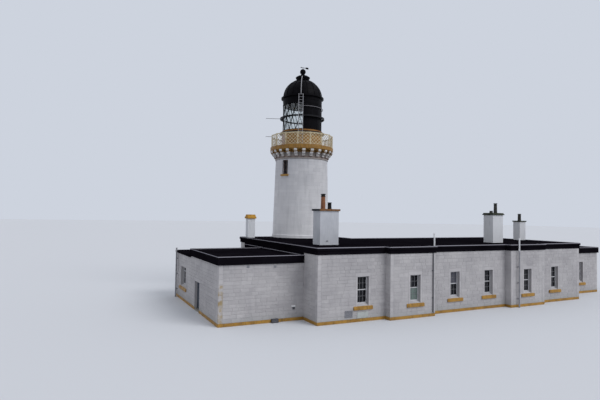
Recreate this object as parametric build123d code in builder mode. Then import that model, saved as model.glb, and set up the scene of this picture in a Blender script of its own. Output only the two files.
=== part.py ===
from build123d import *
import os
from math import acos, asin, cos, degrees, hypot, pi, radians, sin

# Lighthouse tower with its attached single-storey keepers' block, in millimetres.
# The origin is the tower's axis at ground level, +X runs along the front, +Y to the back.

os.makedirs("parts", exist_ok=True)

# Tower shaft
tower_foot_radius = 2670
tower_taper = 1 / 36
tower_bore_radius = 1850
shaft_height = 11600
wall_segments = 6
window_segment_turn = 210
floor_thickness = 100
watch_floor_height = 9000
watch_floor_thickness = 200
base_course_height = 300
base_course_step = 60
base_course_weathering = 60

# Doorway and window of the tower
tower_door_width = 900
tower_door_height = 2100
tower_window_turn = 206
tower_window_width = 640
tower_window_sill = 10240
tower_window_head = 11510
tower_sill_overhang = 90
tower_sill_height = 150

# Corbelled gallery
corbel_course_height = 820
corbel_count = 24
corbel_width = 260
corbel_reaches = (2850, 2690, 2530)
corbel_tier_height = 220
corbel_nose = 130
string_course_height = 110
string_course_step = 60
arch_band_radius = 2770
arch_band_height = 250
arch_rise = 190
deck_height = 12790
deck_radius = 2870
deck_nosing = 60

# Gallery railing
railing_sides = 16
railing_radius = 2800
railing_height = 1040
post_size = 60
handrail_size = 55
panel_thickness = 24
lattice_bar = 32
lattice_columns = 3
lattice_rows = 3
panel_gap = 60

# Lantern
murette_radius = 1830
murette_wall = 300
murette_height = 1240
sill_moulding = 30
sill_ledge_radius = 2060
sill_ledge_height = 90
lantern_sill_height = 260
lantern_radius = 1780
glazing_height = 2360
lantern_bays = 16
blank_start_turn = 247.5
blank_bays = 7
astragal_width = 45
astragal_depth = 45
glass_thickness = 12
glass_joint = 4
top_ring_height = 680
top_ring_wall = 60
gutter_radius = 1950
gutter_drop = 45
gutter_lip = 60
gutter_wall = 25
ledge_radius = 2030
ledge_height = 1150
ledge_thickness = 60
ledge_gap = 40
ledge_bead_width = 50
ledge_bead_height = 130
ledge_bracket_drop = 90
rail_bar = 40
grab_rail_height = 2030
grab_rail_reach = 110

# Dome, ventilator and vane
dome_shell = 40
dome_ribs = 16
dome_rib_width = 50
dome_rib_depth = 35
cowl_radius = 655
cowl_foot_radius = 520
cowl_crown_radius = 460
cowl_height = 360
cowl_rim = 55
neck_radius = 170
neck_height = 200
vent_ball_radius = 265
vane_spindle_radius = 22
vane_spindle_height = 150
vane_pointer_reach = 260
vane_pointer_head = 110
vane_tail_reach = 560
vane_tail_length = 260
vane_tail_height = 160
vane_bar = 36
vane_clearance = 0.3

# Ladder and rods on the lantern
ladder_turn = 240
ladder_width = 420
ladder_bar = 45
ladder_stand_off = 340
ladder_rise = 4540
rung_spacing = 250
rung_radius = 14
dome_rail_bar = 56
side_rod_radius = 22
side_rod_panel = 7
side_rod_reach = 3330

# Keepers' block
main_left = -5400
main_right = 19610
front_face = -13300
main_depth = 9900
bay_inset = 5050
bay_width = 3750
bay_projection = 500
main_wall = 600
main_eaves = 4260
roof_thickness = 420
kerb_height = 30
kerb_overhang = 100
fascia_overhang = 55
cornice_height = 200
kerb_inset = 100
link_width = 8700
link_back = 800
link_wall = 480
link_window = -4100

# Wings
wing_width = 5590
wing_front = -11430
wing_back = 400
wing_wall = 500
wing_eaves = 3630
wing_roof_thickness = 420
wing_kerb_height = 90
wall_flashing = 40
low_roof_start = -4600
low_roof_eaves = 3520
low_roof_thickness = 130
low_kerb_height = 40

# Windows and doors of the block
sash_width = 850
sash_sill = 930
sash_head = 2830
front_windows = (-2100, 5700, 9020, 16500)
bay_windows = (1700, 12630)
back_windows = (8200, 11400, 15600)
back_doors = (5600, 18000)
back_door_width = 950
back_door_height = 2080
slim_window_x = 22850
slim_width = 520
side_window_y = -2100
side_window_width = 1700
side_window_sill = 1000
side_window_head = 2560
reveal = 220
frame_depth = 80
frame_bar = 60
pane_thickness = 10
sill_overhang = 80
sill_height = 190
sill_side = 295
sill_rise = 180
sash_rail_share = 0.5
side_rail_share = 0.74
door_centre_y = -6400
door_width = 1300
door_height = 2000
door_thickness = 60
door_lining = 50
door_lining_depth = 110
door_gap = 10
hinge_radius = 8
hinge_height = 120
hinge_plate = 40
hinge_plate_thickness = 6
hinge_clearance = 0.3
hinge_count = 3
door_reveal = 180

# Chimneys: centre x, centre y, width, depth, body top, cap thickness, cap overhang
chimneys = (
    (-3180, -10295, 1440, 1000, 6980, 130, 80),
    (12330, -10825, 1150, 950, 6930, 170, 80),
    (18950, -8050, 780, 710, 6380, 100, 60),
    (-4960, -300, 620, 620, 6320, 340, 80),
)
# Pots: chimney number, offset along x, radius, height
pots = (
    (0, -236, 160, 1030),
    (0, 276, 138, 460),
    (1, 240, 140, 800),
    (1, -250, 130, 170),
    (2, 0, 150, 640),
)
pot_bore = 0.55
pot_waist = 0.86
pot_foot = 1.1
pot_collar = 60
cap_tier = 0.45
cap_taper = 12

# Downpipes and small fittings
downpipe_radius = 55
downpipe_x = (3620, 11505)
downpipe_heads = (5550, 5200)
side_pipe_y = -180
side_pipe_head = 3900
bracket_spacing = 1200

# Heights and radii that follow from the sizes above
shaft_top_radius = tower_foot_radius - tower_taper * shaft_height
deck_underside = shaft_height + corbel_course_height
sill_base = deck_height + murette_height
glazing_base = sill_base + lantern_sill_height
glazing_top = glazing_base + glazing_height
dome_base = glazing_top + top_ring_height
dome_top = dome_base + lantern_radius
ball_centre = dome_top + cowl_height + neck_height + vent_ball_radius * 0.8
vane_base = ball_centre + vent_ball_radius
roof_top = main_eaves + roof_thickness
kerb_top = roof_top + kerb_height
wing_roof_top = wing_eaves + wing_roof_thickness
wing_kerb_top = wing_roof_top + wing_kerb_height
bay_face = front_face - bay_projection
main_back = front_face + main_depth
link_right = main_left + link_width
segment_angle = 360 / wall_segments
bay_angle = 360 / lantern_bays


def tower_radius(height):
    return tower_foot_radius - tower_taper * height


def rectangle(x0, x1, y0, y1, mode=Mode.ADD):
    """A rectangle in the current sketch between two corners."""
    with Locations(((x0 + x1) / 2, (y0 + y1) / 2)):
        Rectangle(x1 - x0, y1 - y0, mode=mode)


def slab(z0, z1, *rectangles):
    """Plain walls or slabs of the current part, from their plan rectangles."""
    with BuildSketch(Plane.XY.offset(z0)) as plan:
        for corners in rectangles:
            rectangle(*corners)
    extrude(plan.sketch, amount=z1 - z0)


def turned(turn):
    """A plane through the tower's axis whose x points away from it, towards a turn."""
    return Plane(origin=(0, 0, 0), x_dir=(cos(radians(turn)), sin(radians(turn)), 0), z_dir=(0, 0, 1))


def radial_section(turn):
    """A vertical plane through the axis: x away from the axis, y upwards."""
    out = (cos(radians(turn)), sin(radians(turn)), 0)
    return Plane(origin=(0, 0, 0), x_dir=out, z_dir=(sin(radians(turn)), -cos(radians(turn)), 0))


def save(piece, label):
    piece.part.label = label
    export_step(piece.part, f"parts/{label}.step")


# Tower shaft: six wedge-shaped segments with the base course worked on their face
base_course_top = roof_top + base_course_height
shaft_profile = [
    (tower_bore_radius, 0),
    (tower_foot_radius, 0),
    (tower_radius(roof_top), roof_top),
    (tower_radius(roof_top) + base_course_step, roof_top),
    (tower_radius(base_course_top) + base_course_step, base_course_top - base_course_weathering),
    (tower_radius(base_course_top), base_course_top),
    (shaft_top_radius, shaft_height),
    (tower_bore_radius, shaft_height),
]


def shaft_segment(centre_turn):
    """One segment of the shaft, revolved about the tower's axis."""
    with BuildSketch(radial_section(centre_turn - segment_angle / 2)) as profile:
        Polygon(*shaft_profile, align=None)
    revolve(profile.sketch, axis=Axis.Z, revolution_arc=segment_angle)


tower_window_height = tower_window_head - tower_window_sill
window_radius = tower_radius(tower_window_sill)
tower_segments = {
    "tower_wall_right_front": -30,
    "tower_wall_right_back": 30,
    "tower_wall_back": 90,
    "tower_wall_left_back": 150,
}
for label, centre_turn in tower_segments.items():
    with BuildPart() as tower_segment:
        shaft_segment(centre_turn)
    save(tower_segment, label)

with BuildPart() as tower_wall_left_front:
    shaft_segment(window_segment_turn)
    with Locations(turned(tower_window_turn).location * Location((window_radius, 0, tower_window_sill))):
        Box(
            2 * window_radius - tower_bore_radius, tower_window_width, tower_window_height,
            align=(Align.CENTER, Align.CENTER, Align.MIN), mode=Mode.SUBTRACT,
        )
save(tower_wall_left_front, "tower_wall_left_front")

# The front segment is parted at the head of its doorway
with BuildPart() as tower_wall_front:
    shaft_segment(-90)
    split(bisect_by=Plane.XY.offset(tower_door_height), keep=Keep.TOP)
save(tower_wall_front, "tower_wall_front")

with BuildPart() as tower_door_jambs:
    shaft_segment(-90)
    split(bisect_by=Plane.XY.offset(tower_door_height), keep=Keep.BOTTOM)
    with Locations((0, -tower_foot_radius, 0)):
        Box(
            tower_door_width, 2 * tower_foot_radius, 2 * tower_door_height, mode=Mode.SUBTRACT,
        )
save(tower_door_jambs, "tower_door_jambs")

with BuildPart() as tower_floors:
    with BuildSketch():
        Circle(tower_bore_radius)
    extrude(amount=floor_thickness)
    with BuildSketch(Plane.XY.offset(watch_floor_height)):
        Circle(tower_bore_radius)
    extrude(amount=watch_floor_thickness)
save(tower_floors, "tower_floors")

# Tower window: frame and glass set back in the opening, sill stone below it on the face
window_seat = turned(tower_window_turn).location * Location((window_radius, 0, tower_window_sill))
with BuildPart() as tower_window_frame:
    with Locations(window_seat * Location((-reveal, 0, 0))):
        Box(frame_depth, tower_window_width, tower_window_height, align=(Align.MAX, Align.CENTER, Align.MIN))
        with Locations((0, 0, frame_bar)):
            Box(
                frame_depth, tower_window_width - 2 * frame_bar, tower_window_height - 2 * frame_bar,
                align=(Align.MAX, Align.CENTER, Align.MIN), mode=Mode.SUBTRACT,
            )
save(tower_window_frame, "tower_window_frame")

with BuildPart() as tower_window_glass:
    with Locations(window_seat * Location((-reveal - frame_depth / 2, 0, frame_bar))):
        Box(
            pane_thickness, tower_window_width - 2 * frame_bar, tower_window_height - 2 * frame_bar,
            align=(Align.CENTER, Align.CENTER, Align.MIN),
        )
save(tower_window_glass, "tower_window_glass")

with BuildPart() as tower_window_sill:
    with Locations(window_seat):
        Box(
            2 * tower_sill_overhang, tower_window_width + 2 * tower_sill_overhang, tower_sill_height,
            align=(Align.CENTER, Align.CENTER, Align.MAX),
        )
    with BuildSketch(radial_section(tower_window_turn - segment_angle / 2)):
        Polygon(*shaft_profile, align=None)
    revolve(axis=Axis.Z, revolution_arc=segment_angle, mode=Mode.SUBTRACT)
save(tower_window_sill, "tower_window_sill")

# Corbel table: a string course, corbels in three rolls, and a band scalloped between them
corbel_pitch = 360 / corbel_count
corbel_root = (tower_bore_radius + shaft_top_radius) / 2
with BuildPart() as gallery_corbels:
    with BuildSketch(Plane.XZ):
        Polygon(
            (tower_bore_radius, shaft_height),
            (shaft_top_radius + string_course_step, shaft_height),
            (shaft_top_radius + string_course_step, shaft_height + string_course_height),
            (shaft_top_radius, shaft_height + string_course_height + string_course_step / 2),
            (shaft_top_radius, deck_underside - arch_band_height),
            (arch_band_radius, deck_underside - arch_band_height),
            (arch_band_radius, deck_underside),
            (tower_bore_radius, deck_underside),
            align=None,
        )
    revolve(axis=Axis.Z)
    arch_radius = pi * arch_band_radius / corbel_count - corbel_width / 2
    for arch in range(corbel_count):
        arch_turn = radians(arch * corbel_pitch)
        arch_plane = Plane(
            origin=(0, 0, deck_underside - arch_band_height),
            x_dir=(sin(arch_turn), -cos(arch_turn), 0),
            z_dir=(cos(arch_turn), sin(arch_turn), 0),
        )
        with BuildSketch(arch_plane.offset(shaft_top_radius + string_course_step)):
            Ellipse(arch_radius, arch_rise)
        extrude(amount=arch_band_radius, mode=Mode.SUBTRACT)
    for corbel in range(corbel_count):
        with BuildSketch(radial_section((corbel + 0.5) * corbel_pitch)) as corbel_section:
            with BuildLine():
                tier_top = deck_underside
                Line((corbel_root, tier_top), (corbel_reaches[0], tier_top))
                for reach, step_back in zip(corbel_reaches, corbel_reaches[1:] + (shaft_top_radius,)):
                    tier_foot = tier_top - corbel_tier_height
                    Line((reach, tier_top), (reach, tier_foot + corbel_nose))
                    CenterArc((reach - corbel_nose, tier_foot + corbel_nose), corbel_nose, -90, 90)
                    Line((reach - corbel_nose, tier_foot), (step_back, tier_foot))
                    tier_top = tier_foot
                Polyline((shaft_top_radius, tier_top), (corbel_root, tier_top), (corbel_root, deck_underside))
            make_face()
        extrude(corbel_section.sketch, amount=corbel_width / 2, both=True)
save(gallery_corbels, "gallery_corbels")

# Gallery deck: one round landing with a worked nosing, which is also the lantern floor
with BuildPart() as gallery_deck:
    with BuildSketch(Plane.XY.offset(deck_underside)):
        Circle(deck_radius)
    extrude(amount=deck_height - deck_underside)
    fillet(gallery_deck.edges().filter_by(GeomType.CIRCLE), radius=deck_nosing)
save(gallery_deck, "gallery_deck")

# Gallery railing: posts at the corners of a sixteen-sided ring, flat lattice panels between
side_angle = 360 / railing_sides
corner_turn = radians(side_angle / 2)
panel_end = (post_size / 2 + panel_thickness / 2 * sin(corner_turn)) / cos(corner_turn)
panel_width = 2 * (railing_radius * sin(corner_turn) - panel_end)
panel_distance = railing_radius * cos(corner_turn)
lattice_height = railing_height - panel_gap
cell_width = (panel_width - 2 * lattice_bar) / lattice_columns
cell_height = (lattice_height - lattice_bar - handrail_size) / lattice_rows

with BuildPart() as gallery_posts:
    with PolarLocations(railing_radius, railing_sides, start_angle=side_angle / 2):
        with Locations((0, 0, deck_height)):
            Box(post_size, post_size, railing_height, align=(Align.CENTER, Align.CENTER, Align.MIN))
save(gallery_posts, "gallery_posts")


# One railing panel: a rectangle with diamond openings and half diamonds at its edges
bar_slope = hypot(cell_width, cell_height)
hole_width = cell_width - lattice_bar * bar_slope / cell_height
hole_height = cell_height - lattice_bar * bar_slope / cell_width
lattice_low = panel_gap + lattice_bar
lattice_high = railing_height - handrail_size
with BuildSketch() as lattice_holes:
    for row in range(2 * lattice_rows + 1):
        for column in range(2 * lattice_columns + 1):
            if (row + column) % 2 == 1:
                x = lattice_bar - panel_width / 2 + column * cell_width / 2
                with Locations((x, lattice_low + row * cell_height / 2)):
                    Polygon((-hole_width / 2, 0), (0, -hole_height / 2), (hole_width / 2, 0), (0, hole_height / 2))
    with Locations((0, (lattice_low + lattice_high) / 2)):
        Rectangle(panel_width - 2 * lattice_bar, lattice_high - lattice_low, mode=Mode.INTERSECT)
with BuildSketch() as lattice_panel:
    with Locations((0, (panel_gap + railing_height) / 2)):
        Rectangle(panel_width, railing_height - panel_gap)
    add(lattice_holes.sketch, mode=Mode.SUBTRACT)

with BuildPart() as gallery_lattice:
    for side in range(railing_sides):
        turn = side * side_angle
        out = Vector(cos(radians(turn)), sin(radians(turn)), 0)
        face = Plane(
            origin=out * (panel_distance + panel_thickness / 2) + Vector(0, 0, deck_height),
            x_dir=(-sin(radians(turn)), cos(radians(turn)), 0),
            z_dir=out,
        )
        extrude(face.location * lattice_panel.sketch, amount=-panel_thickness)
save(gallery_lattice, "gallery_lattice")

# Lantern base wall, and its sill with a projecting ledge
with BuildPart() as lantern_base_wall:
    with BuildSketch(Plane.XY.offset(deck_height)):
        Circle(murette_radius)
        Circle(murette_radius - murette_wall, mode=Mode.SUBTRACT)
    extrude(amount=murette_height)
save(lantern_base_wall, "lantern_base_wall")

with BuildPart() as lantern_sill:
    with BuildSketch(Plane.XZ):
        Polygon(
            (murette_radius - murette_wall, sill_base),
            (sill_ledge_radius, sill_base),
            (sill_ledge_radius, sill_base + sill_ledge_height),
            (murette_radius + sill_moulding, sill_base + sill_ledge_height),
            (murette_radius + sill_moulding, glazing_base - sill_moulding),
            (lantern_radius + sill_moulding, glazing_base),
            (murette_radius - murette_wall, glazing_base),
            align=None,
        )
    revolve(axis=Axis.Z)
save(lantern_sill, "lantern_sill")

# Glazing: helical astragals crossing at mid height, on the seaward bays
glazed_start = blank_start_turn + blank_bays * bay_angle - 360
glazed_bays = lantern_bays - blank_bays
frame_radius = lantern_radius - astragal_depth / 2


def on_frame(turn, height):
    return Vector(frame_radius * cos(radians(turn)), frame_radius * sin(radians(turn)), height)


def astragal(low, high, radial_turn):
    """A straight glazing bar between two points of the lantern frame."""
    along = high - low
    out = Vector(cos(radians(radial_turn)), sin(radians(radial_turn)), 0)
    bar_plane = Plane(origin=low, x_dir=out.cross(along), z_dir=along)
    with BuildSketch(bar_plane) as bar:
        Rectangle(astragal_width, astragal_depth)
    extrude(bar.sketch, amount=along.length)


def arc_ring(start_turn, arc, inner, outer, z0, z1, mode=Mode.ADD):
    """Part of a ring about the tower's axis."""
    with BuildSketch(radial_section(start_turn)) as section:
        with Locations(((inner + outer) / 2, (z0 + z1) / 2)):
            Rectangle(outer - inner, z1 - z0)
    revolve(section.sketch, axis=Axis.Z, revolution_arc=arc, mode=mode)


with BuildPart() as lantern_frame:
    glazed_arc = glazed_bays * bay_angle
    frame_middle = (glazing_base + glazing_top) / 2
    for z0, z1 in (
        (glazing_base, glazing_base + astragal_width),
        (frame_middle - astragal_width / 2, frame_middle + astragal_width / 2),
        (glazing_top - astragal_width, glazing_top),
    ):
        arc_ring(glazed_start, glazed_arc, lantern_radius - astragal_depth, lantern_radius, z0, z1)
    end_turn = degrees(astragal_width / 2 / frame_radius)
    for turn in (glazed_start + end_turn, glazed_start + glazed_arc - end_turn):
        astragal(on_frame(turn, glazing_base), on_frame(turn, glazing_top), turn)
    half_bay = bay_angle / 2
    for bay in range(glazed_bays):
        left = glazed_start + bay * bay_angle
        middle = left + half_bay
        right = left + bay_angle
        astragal(on_frame(left, glazing_base), on_frame(middle, frame_middle), left + half_bay / 2)
        astragal(on_frame(right, glazing_base), on_frame(middle, frame_middle), right - half_bay / 2)
        astragal(on_frame(middle, frame_middle), on_frame(left, glazing_top), left + half_bay / 2)
        astragal(on_frame(middle, frame_middle), on_frame(right, glazing_top), right - half_bay / 2)
    arc_ring(
        glazed_start, glazed_arc, lantern_radius - 2 * astragal_depth, lantern_radius,
        glazing_base, glazing_top, Mode.INTERSECT,
    )
save(lantern_frame, "lantern_frame")

bar_sag = frame_radius * (1 - cos(radians(bay_angle / 4)))
glass_outer = lantern_radius - astragal_depth - bar_sag - glass_joint
joint_angle = degrees(glass_joint / glass_outer)
with BuildPart() as lantern_glass:
    for bay in range(glazed_bays):
        arc_ring(
            glazed_start + bay * bay_angle + joint_angle / 2, bay_angle - joint_angle,
            glass_outer - glass_thickness, glass_outer, glazing_base, glazing_top,
        )
save(lantern_glass, "lantern_glass")

with BuildPart() as lantern_blank_panels:
    for bay in range(blank_bays):
        arc_ring(
            blank_start_turn + bay * bay_angle + joint_angle / 2, bay_angle - joint_angle,
            glass_outer - glass_thickness, lantern_radius, glazing_base, glazing_top,
        )
save(lantern_blank_panels, "lantern_blank_panels")

with BuildPart() as lantern_top_ring:
    with BuildSketch(Plane.XY.offset(glazing_top)):
        Circle(lantern_radius)
        Circle(lantern_radius - top_ring_wall, mode=Mode.SUBTRACT)
    extrude(amount=top_ring_height)
save(lantern_top_ring, "lantern_top_ring")

# Ledge for cleaning the panes at mid height, on bracket plates, and a grab rail on the blank panels
with BuildPart() as lantern_rails:
    ledge_foot = glazing_base + ledge_height
    ledge_top = ledge_foot + ledge_thickness
    ledge_middle = (ledge_foot + ledge_top) / 2
    bead_radius = ledge_radius - ledge_bead_width
    arc_ring(0, 360, lantern_radius + ledge_gap, ledge_radius, ledge_foot, ledge_top)
    arc_ring(
        0, 360, bead_radius, ledge_radius,
        ledge_middle - ledge_bead_height / 2, ledge_middle + ledge_bead_height / 2,
    )
    for bay in range(lantern_bays):
        with BuildSketch(radial_section(blank_start_turn + bay * bay_angle)) as bracket:
            Polygon(
                (lantern_radius, ledge_top), (lantern_radius, ledge_foot - ledge_bracket_drop),
                (bead_radius, ledge_foot), (bead_radius, ledge_top), align=None,
            )
        extrude(bracket.sketch, amount=rail_bar / 2, both=True)
    grab_z = glazing_base + grab_rail_height
    grab_radius = lantern_radius + grab_rail_reach
    arc_ring(
        blank_start_turn, blank_bays * bay_angle, grab_radius - rail_bar, grab_radius,
        grab_z, grab_z + rail_bar,
    )
    for bay in range(blank_bays + 1):
        bracket_turn = blank_start_turn + bay * bay_angle
        with Locations(turned(bracket_turn).location * Location((lantern_radius, 0, grab_z))):
            Box(grab_rail_reach - rail_bar / 2, rail_bar, rail_bar, align=(Align.MIN, Align.CENTER, Align.MIN))
save(lantern_rails, "lantern_rails")

# Dome: a thin shell with a gutter round its foot and ribs over the joints of its sheets
with BuildPart() as lantern_dome:
    gutter_floor = dome_base + gutter_wall
    shell_start = asin(gutter_wall / lantern_radius)
    with BuildSketch(Plane.XZ):
        with BuildLine():
            shell_outer = CenterArc(
                (0, dome_base), lantern_radius, degrees(shell_start), 90 - degrees(shell_start),
            )
            shell_inner = CenterArc((0, dome_base), lantern_radius - dome_shell, 0, 90)
            Line(shell_outer @ 1, shell_inner @ 1)
            Polyline(
                shell_inner @ 0,
                (lantern_radius, dome_base),
                (lantern_radius, dome_base - gutter_drop),
                (gutter_radius, dome_base - gutter_drop),
                (gutter_radius, dome_base + gutter_lip),
                (gutter_radius - gutter_wall, dome_base + gutter_lip),
                (gutter_radius - gutter_wall, gutter_floor),
                shell_outer @ 0,
            )
        make_face()
    revolve(axis=Axis.Z)
    rib_inner = lantern_radius - dome_shell / 2
    rib_start = 2 * degrees(shell_start)
    rib_end = degrees(acos(cowl_foot_radius / rib_inner)) - 1
    for rib in range(dome_ribs):
        with BuildSketch(radial_section((rib + 0.5) * 360 / dome_ribs)) as rib_section:
            with BuildLine():
                crest = CenterArc((0, dome_base), lantern_radius + dome_rib_depth, rib_start, rib_end - rib_start)
                root = CenterArc((0, dome_base), rib_inner, rib_start, rib_end - rib_start)
                Line(crest @ 0, root @ 0)
                Line(crest @ 1, root @ 1)
            make_face()
        extrude(rib_section.sketch, amount=dome_rib_width / 2, both=True)
save(lantern_dome, "lantern_dome")

# Ventilator: a dished cowl on the crown, its neck, and the ball above
with BuildPart() as ventilator:
    foot_angle = degrees(acos(cowl_foot_radius / lantern_radius))
    cowl_edge = dome_top + cowl_height / 2
    with BuildSketch(Plane.XZ):
        with BuildLine():
            seat_arc = CenterArc((0, dome_base), lantern_radius, foot_angle, 90 - foot_angle)
            Polyline(
                seat_arc @ 0,
                (cowl_radius, cowl_edge),
                (cowl_radius, cowl_edge + cowl_rim),
                (cowl_crown_radius, dome_top + cowl_height),
                (neck_radius, dome_top + cowl_height + cowl_rim / 2),
                (neck_radius, ball_centre),
                (0, ball_centre),
                seat_arc @ 1,
            )
        make_face()
    revolve(axis=Axis.Z)
    with Locations((0, 0, ball_centre)):
        Sphere(vent_ball_radius)
save(ventilator, "ventilator")

# Wind vane: a spindle that turns on the ball, with a pointer and a tail plate
with BuildPart() as wind_vane:
    with BuildSketch(Plane.XY.offset(vane_base + vane_clearance)):
        Circle(vane_spindle_radius)
    extrude(amount=vane_spindle_height)
    arm_top = vane_base + vane_clearance + vane_spindle_height
    arm_middle = arm_top - vane_bar / 2
    arm_foot = arm_top - vane_bar
    with BuildSketch(Plane.XZ.offset(-vane_bar / 2)):
        Polygon(
            (-vane_pointer_reach, arm_middle),
            (vane_pointer_head - vane_pointer_reach, arm_middle - vane_pointer_head / 2),
            (vane_pointer_head - vane_pointer_reach, arm_foot),
            (vane_tail_reach - vane_tail_length, arm_foot),
            (vane_tail_reach - vane_tail_length, arm_middle - vane_tail_height / 2),
            (vane_tail_reach, arm_middle - vane_tail_height / 2),
            (vane_tail_reach, arm_middle + vane_tail_height / 2),
            (vane_tail_reach - vane_tail_length, arm_middle + vane_tail_height / 2),
            (vane_tail_reach - vane_tail_length, arm_top),
            (vane_pointer_head - vane_pointer_reach, arm_top),
            (vane_pointer_head - vane_pointer_reach, arm_middle + vane_pointer_head / 2),
            align=None,
        )
    extrude(amount=vane_bar)
save(wind_vane, "wind_vane")

# Ladder up the front of the lantern, stayed to the ledge and the gutter
ladder_radius = lantern_radius + ladder_stand_off
rungs = int(ladder_rise / rung_spacing)
with BuildPart() as lantern_ladder:
    stile_offset = (ladder_width - ladder_bar) / 2
    with Locations(turned(ladder_turn).location * Location((ladder_radius, 0, deck_height))):
        with Locations((0, -stile_offset, 0), (0, stile_offset, 0)):
            Box(ladder_bar, ladder_bar, ladder_rise, align=(Align.CENTER, Align.CENTER, Align.MIN))
            for stay_height in (ledge_foot, dome_base - rail_bar):
                with Locations((0, 0, stay_height - deck_height)):
                    Box(2 * ladder_stand_off, rail_bar, rail_bar, align=(Align.MAX, Align.CENTER, Align.MIN))
        for rung in range(1, rungs + 1):
            with Locations(Location((0, 0, rung * rung_spacing), (90, 0, 0))):
                Cylinder(rung_radius, ladder_width - ladder_bar)
    for cut_radius, z0, z1 in ((ledge_radius, deck_height, glazing_top), (gutter_radius, glazing_top, dome_top)):
        with BuildSketch(Plane.XY.offset(z0)) as inside:
            Circle(cut_radius)
        extrude(inside.sketch, amount=z1 - z0, mode=Mode.SUBTRACT)
save(lantern_ladder, "lantern_ladder")

# Curved rail over the dome, from the ladder's top rung to the rim of the cowl
with BuildPart() as dome_rail:
    rail_foot = deck_height + rungs * rung_spacing
    rail_start = ladder_radius - rung_radius - dome_rail_bar / 2
    rail_run = rail_start - cowl_radius
    rail_climb = cowl_edge + cowl_rim / 2 - rail_foot
    rail_radius = (rail_run**2 + rail_climb**2) / (2 * rail_run)
    rail_centre = (rail_start - rail_radius, rail_foot)
    rail_arc = degrees(acos((cowl_foot_radius - rail_centre[0]) / rail_radius))
    with BuildSketch(radial_section(ladder_turn)):
        with BuildLine():
            upper = CenterArc(rail_centre, rail_radius + dome_rail_bar / 2, 0, rail_arc)
            lower = CenterArc(rail_centre, rail_radius - dome_rail_bar / 2, 0, rail_arc)
            Line(upper @ 0, lower @ 0)
            Line(upper @ 1, lower @ 1)
        make_face()
        rectangle(0, cowl_radius, dome_top, dome_top + 2 * cowl_height, mode=Mode.SUBTRACT)
    extrude(amount=dome_rail_bar / 2, both=True)
save(dome_rail, "dome_rail")

# Rods that stand out sideways from the lantern's ledge and the gallery railing
with BuildPart() as side_rods:
    for start, height in (
        (ledge_radius, ledge_middle),
        (panel_distance + panel_thickness / 2, deck_height + railing_height - handrail_size / 2),
    ):
        with Locations(turned(side_rod_panel * side_angle).location * Location((start, 0, height), (0, 90, 0))):
            Cylinder(side_rod_radius, side_rod_reach - start, align=(Align.CENTER, Align.CENTER, Align.MIN))
save(side_rods, "side_rods")

# Plan of the keepers' block, as the outline of its outer wall faces
bay_starts = (main_left + bay_inset, main_right - bay_inset - bay_width)
main_outline = [(main_left, front_face)]
for bay_start in bay_starts:
    main_outline += [
        (bay_start, front_face),
        (bay_start, bay_face),
        (bay_start + bay_width, bay_face),
        (bay_start + bay_width, front_face),
    ]
main_outline += [
    (main_right, front_face),
    (main_right, main_back),
    (link_right, main_back),
    (link_right, link_back),
    (main_left, link_back),
]
inner_left = main_left + main_wall
inner_right = main_right - main_wall
inner_front = front_face + main_wall
inner_back = main_back - main_wall
link_inner_back = link_back - main_wall
link_inner_right = link_right - link_wall


def cut_for_tower(radius_at, low, high):
    """Cut the current part back to the tower's sloping face."""
    with BuildSketch(Plane.XZ) as cone:
        Polygon((0, low), (radius_at(low), low), (radius_at(high), high), (0, high), align=None)
    revolve(cone.sketch, axis=Axis.Z, mode=Mode.SUBTRACT)


def cut_openings(places, width, sill, head):
    """Cut like rectangular openings right through the current walls."""
    with Locations(*places):
        with Locations((0, 0, sill)):
            Box(width, 4 * main_wall, head - sill, align=(Align.CENTER, Align.CENTER, Align.MIN), mode=Mode.SUBTRACT)


# Each window or door place is a location on the outer wall face whose -y looks outwards
front_places = [Location((x, front_face, 0)) for x in front_windows]
bay_places = [Location((x, bay_face, 0)) for x in bay_windows]
back_places = [Location((x, main_back, 0), (0, 0, 180)) for x in back_windows]
back_door_places = [Location((x, main_back, 0), (0, 0, 180)) for x in back_doors]
link_places = [Location((link_window, link_back, 0), (0, 0, 180))]
slim_places = [Location((slim_window_x, wing_front, 0))]
left_wing_face = main_left - wing_width
right_wing_face = main_right + wing_width
left_side_place = Location((left_wing_face, side_window_y, 0), (0, 0, -90))
right_side_place = Location((right_wing_face, side_window_y, 0), (0, 0, 90))
door_place = Location((left_wing_face, door_centre_y, 0), (0, 0, -90))

with BuildPart() as front_walls:
    slab(
        0, main_eaves,
        (main_left, bay_starts[0], front_face, inner_front),
        (bay_starts[0] + bay_width, bay_starts[1], front_face, inner_front),
        (bay_starts[1] + bay_width, main_right, front_face, inner_front),
    )
    cut_openings(front_places, sash_width, sash_sill, sash_head)
save(front_walls, "front_walls")

with BuildPart() as bay_front_walls:
    slab(0, main_eaves, *[(x, x + bay_width, bay_face, bay_face + main_wall) for x in bay_starts])
    cut_openings(bay_places, sash_width, sash_sill, sash_head)
save(bay_front_walls, "bay_front_walls")

with BuildPart() as bay_side_walls:
    for bay_start in bay_starts:
        slab(
            0, main_eaves,
            (bay_start, bay_start + main_wall, bay_face + main_wall, inner_front),
            (bay_start + bay_width - main_wall, bay_start + bay_width, bay_face + main_wall, inner_front),
        )
save(bay_side_walls, "bay_side_walls")

with BuildPart() as end_walls:
    slab(
        0, main_eaves,
        (main_left, inner_left, inner_front, link_inner_back),
        (inner_right, main_right, inner_front, inner_back),
    )
save(end_walls, "end_walls")

with BuildPart() as back_wall:
    slab(0, main_eaves, (link_right, main_right, inner_back, main_back))
    cut_openings(back_places, sash_width, sash_sill, sash_head)
    cut_openings(back_door_places, back_door_width, 0, back_door_height)
save(back_wall, "back_wall")

with BuildPart() as link_side_wall:
    slab(0, main_eaves, (link_inner_right, link_right, inner_back, link_inner_back))
save(link_side_wall, "link_side_wall")

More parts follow.
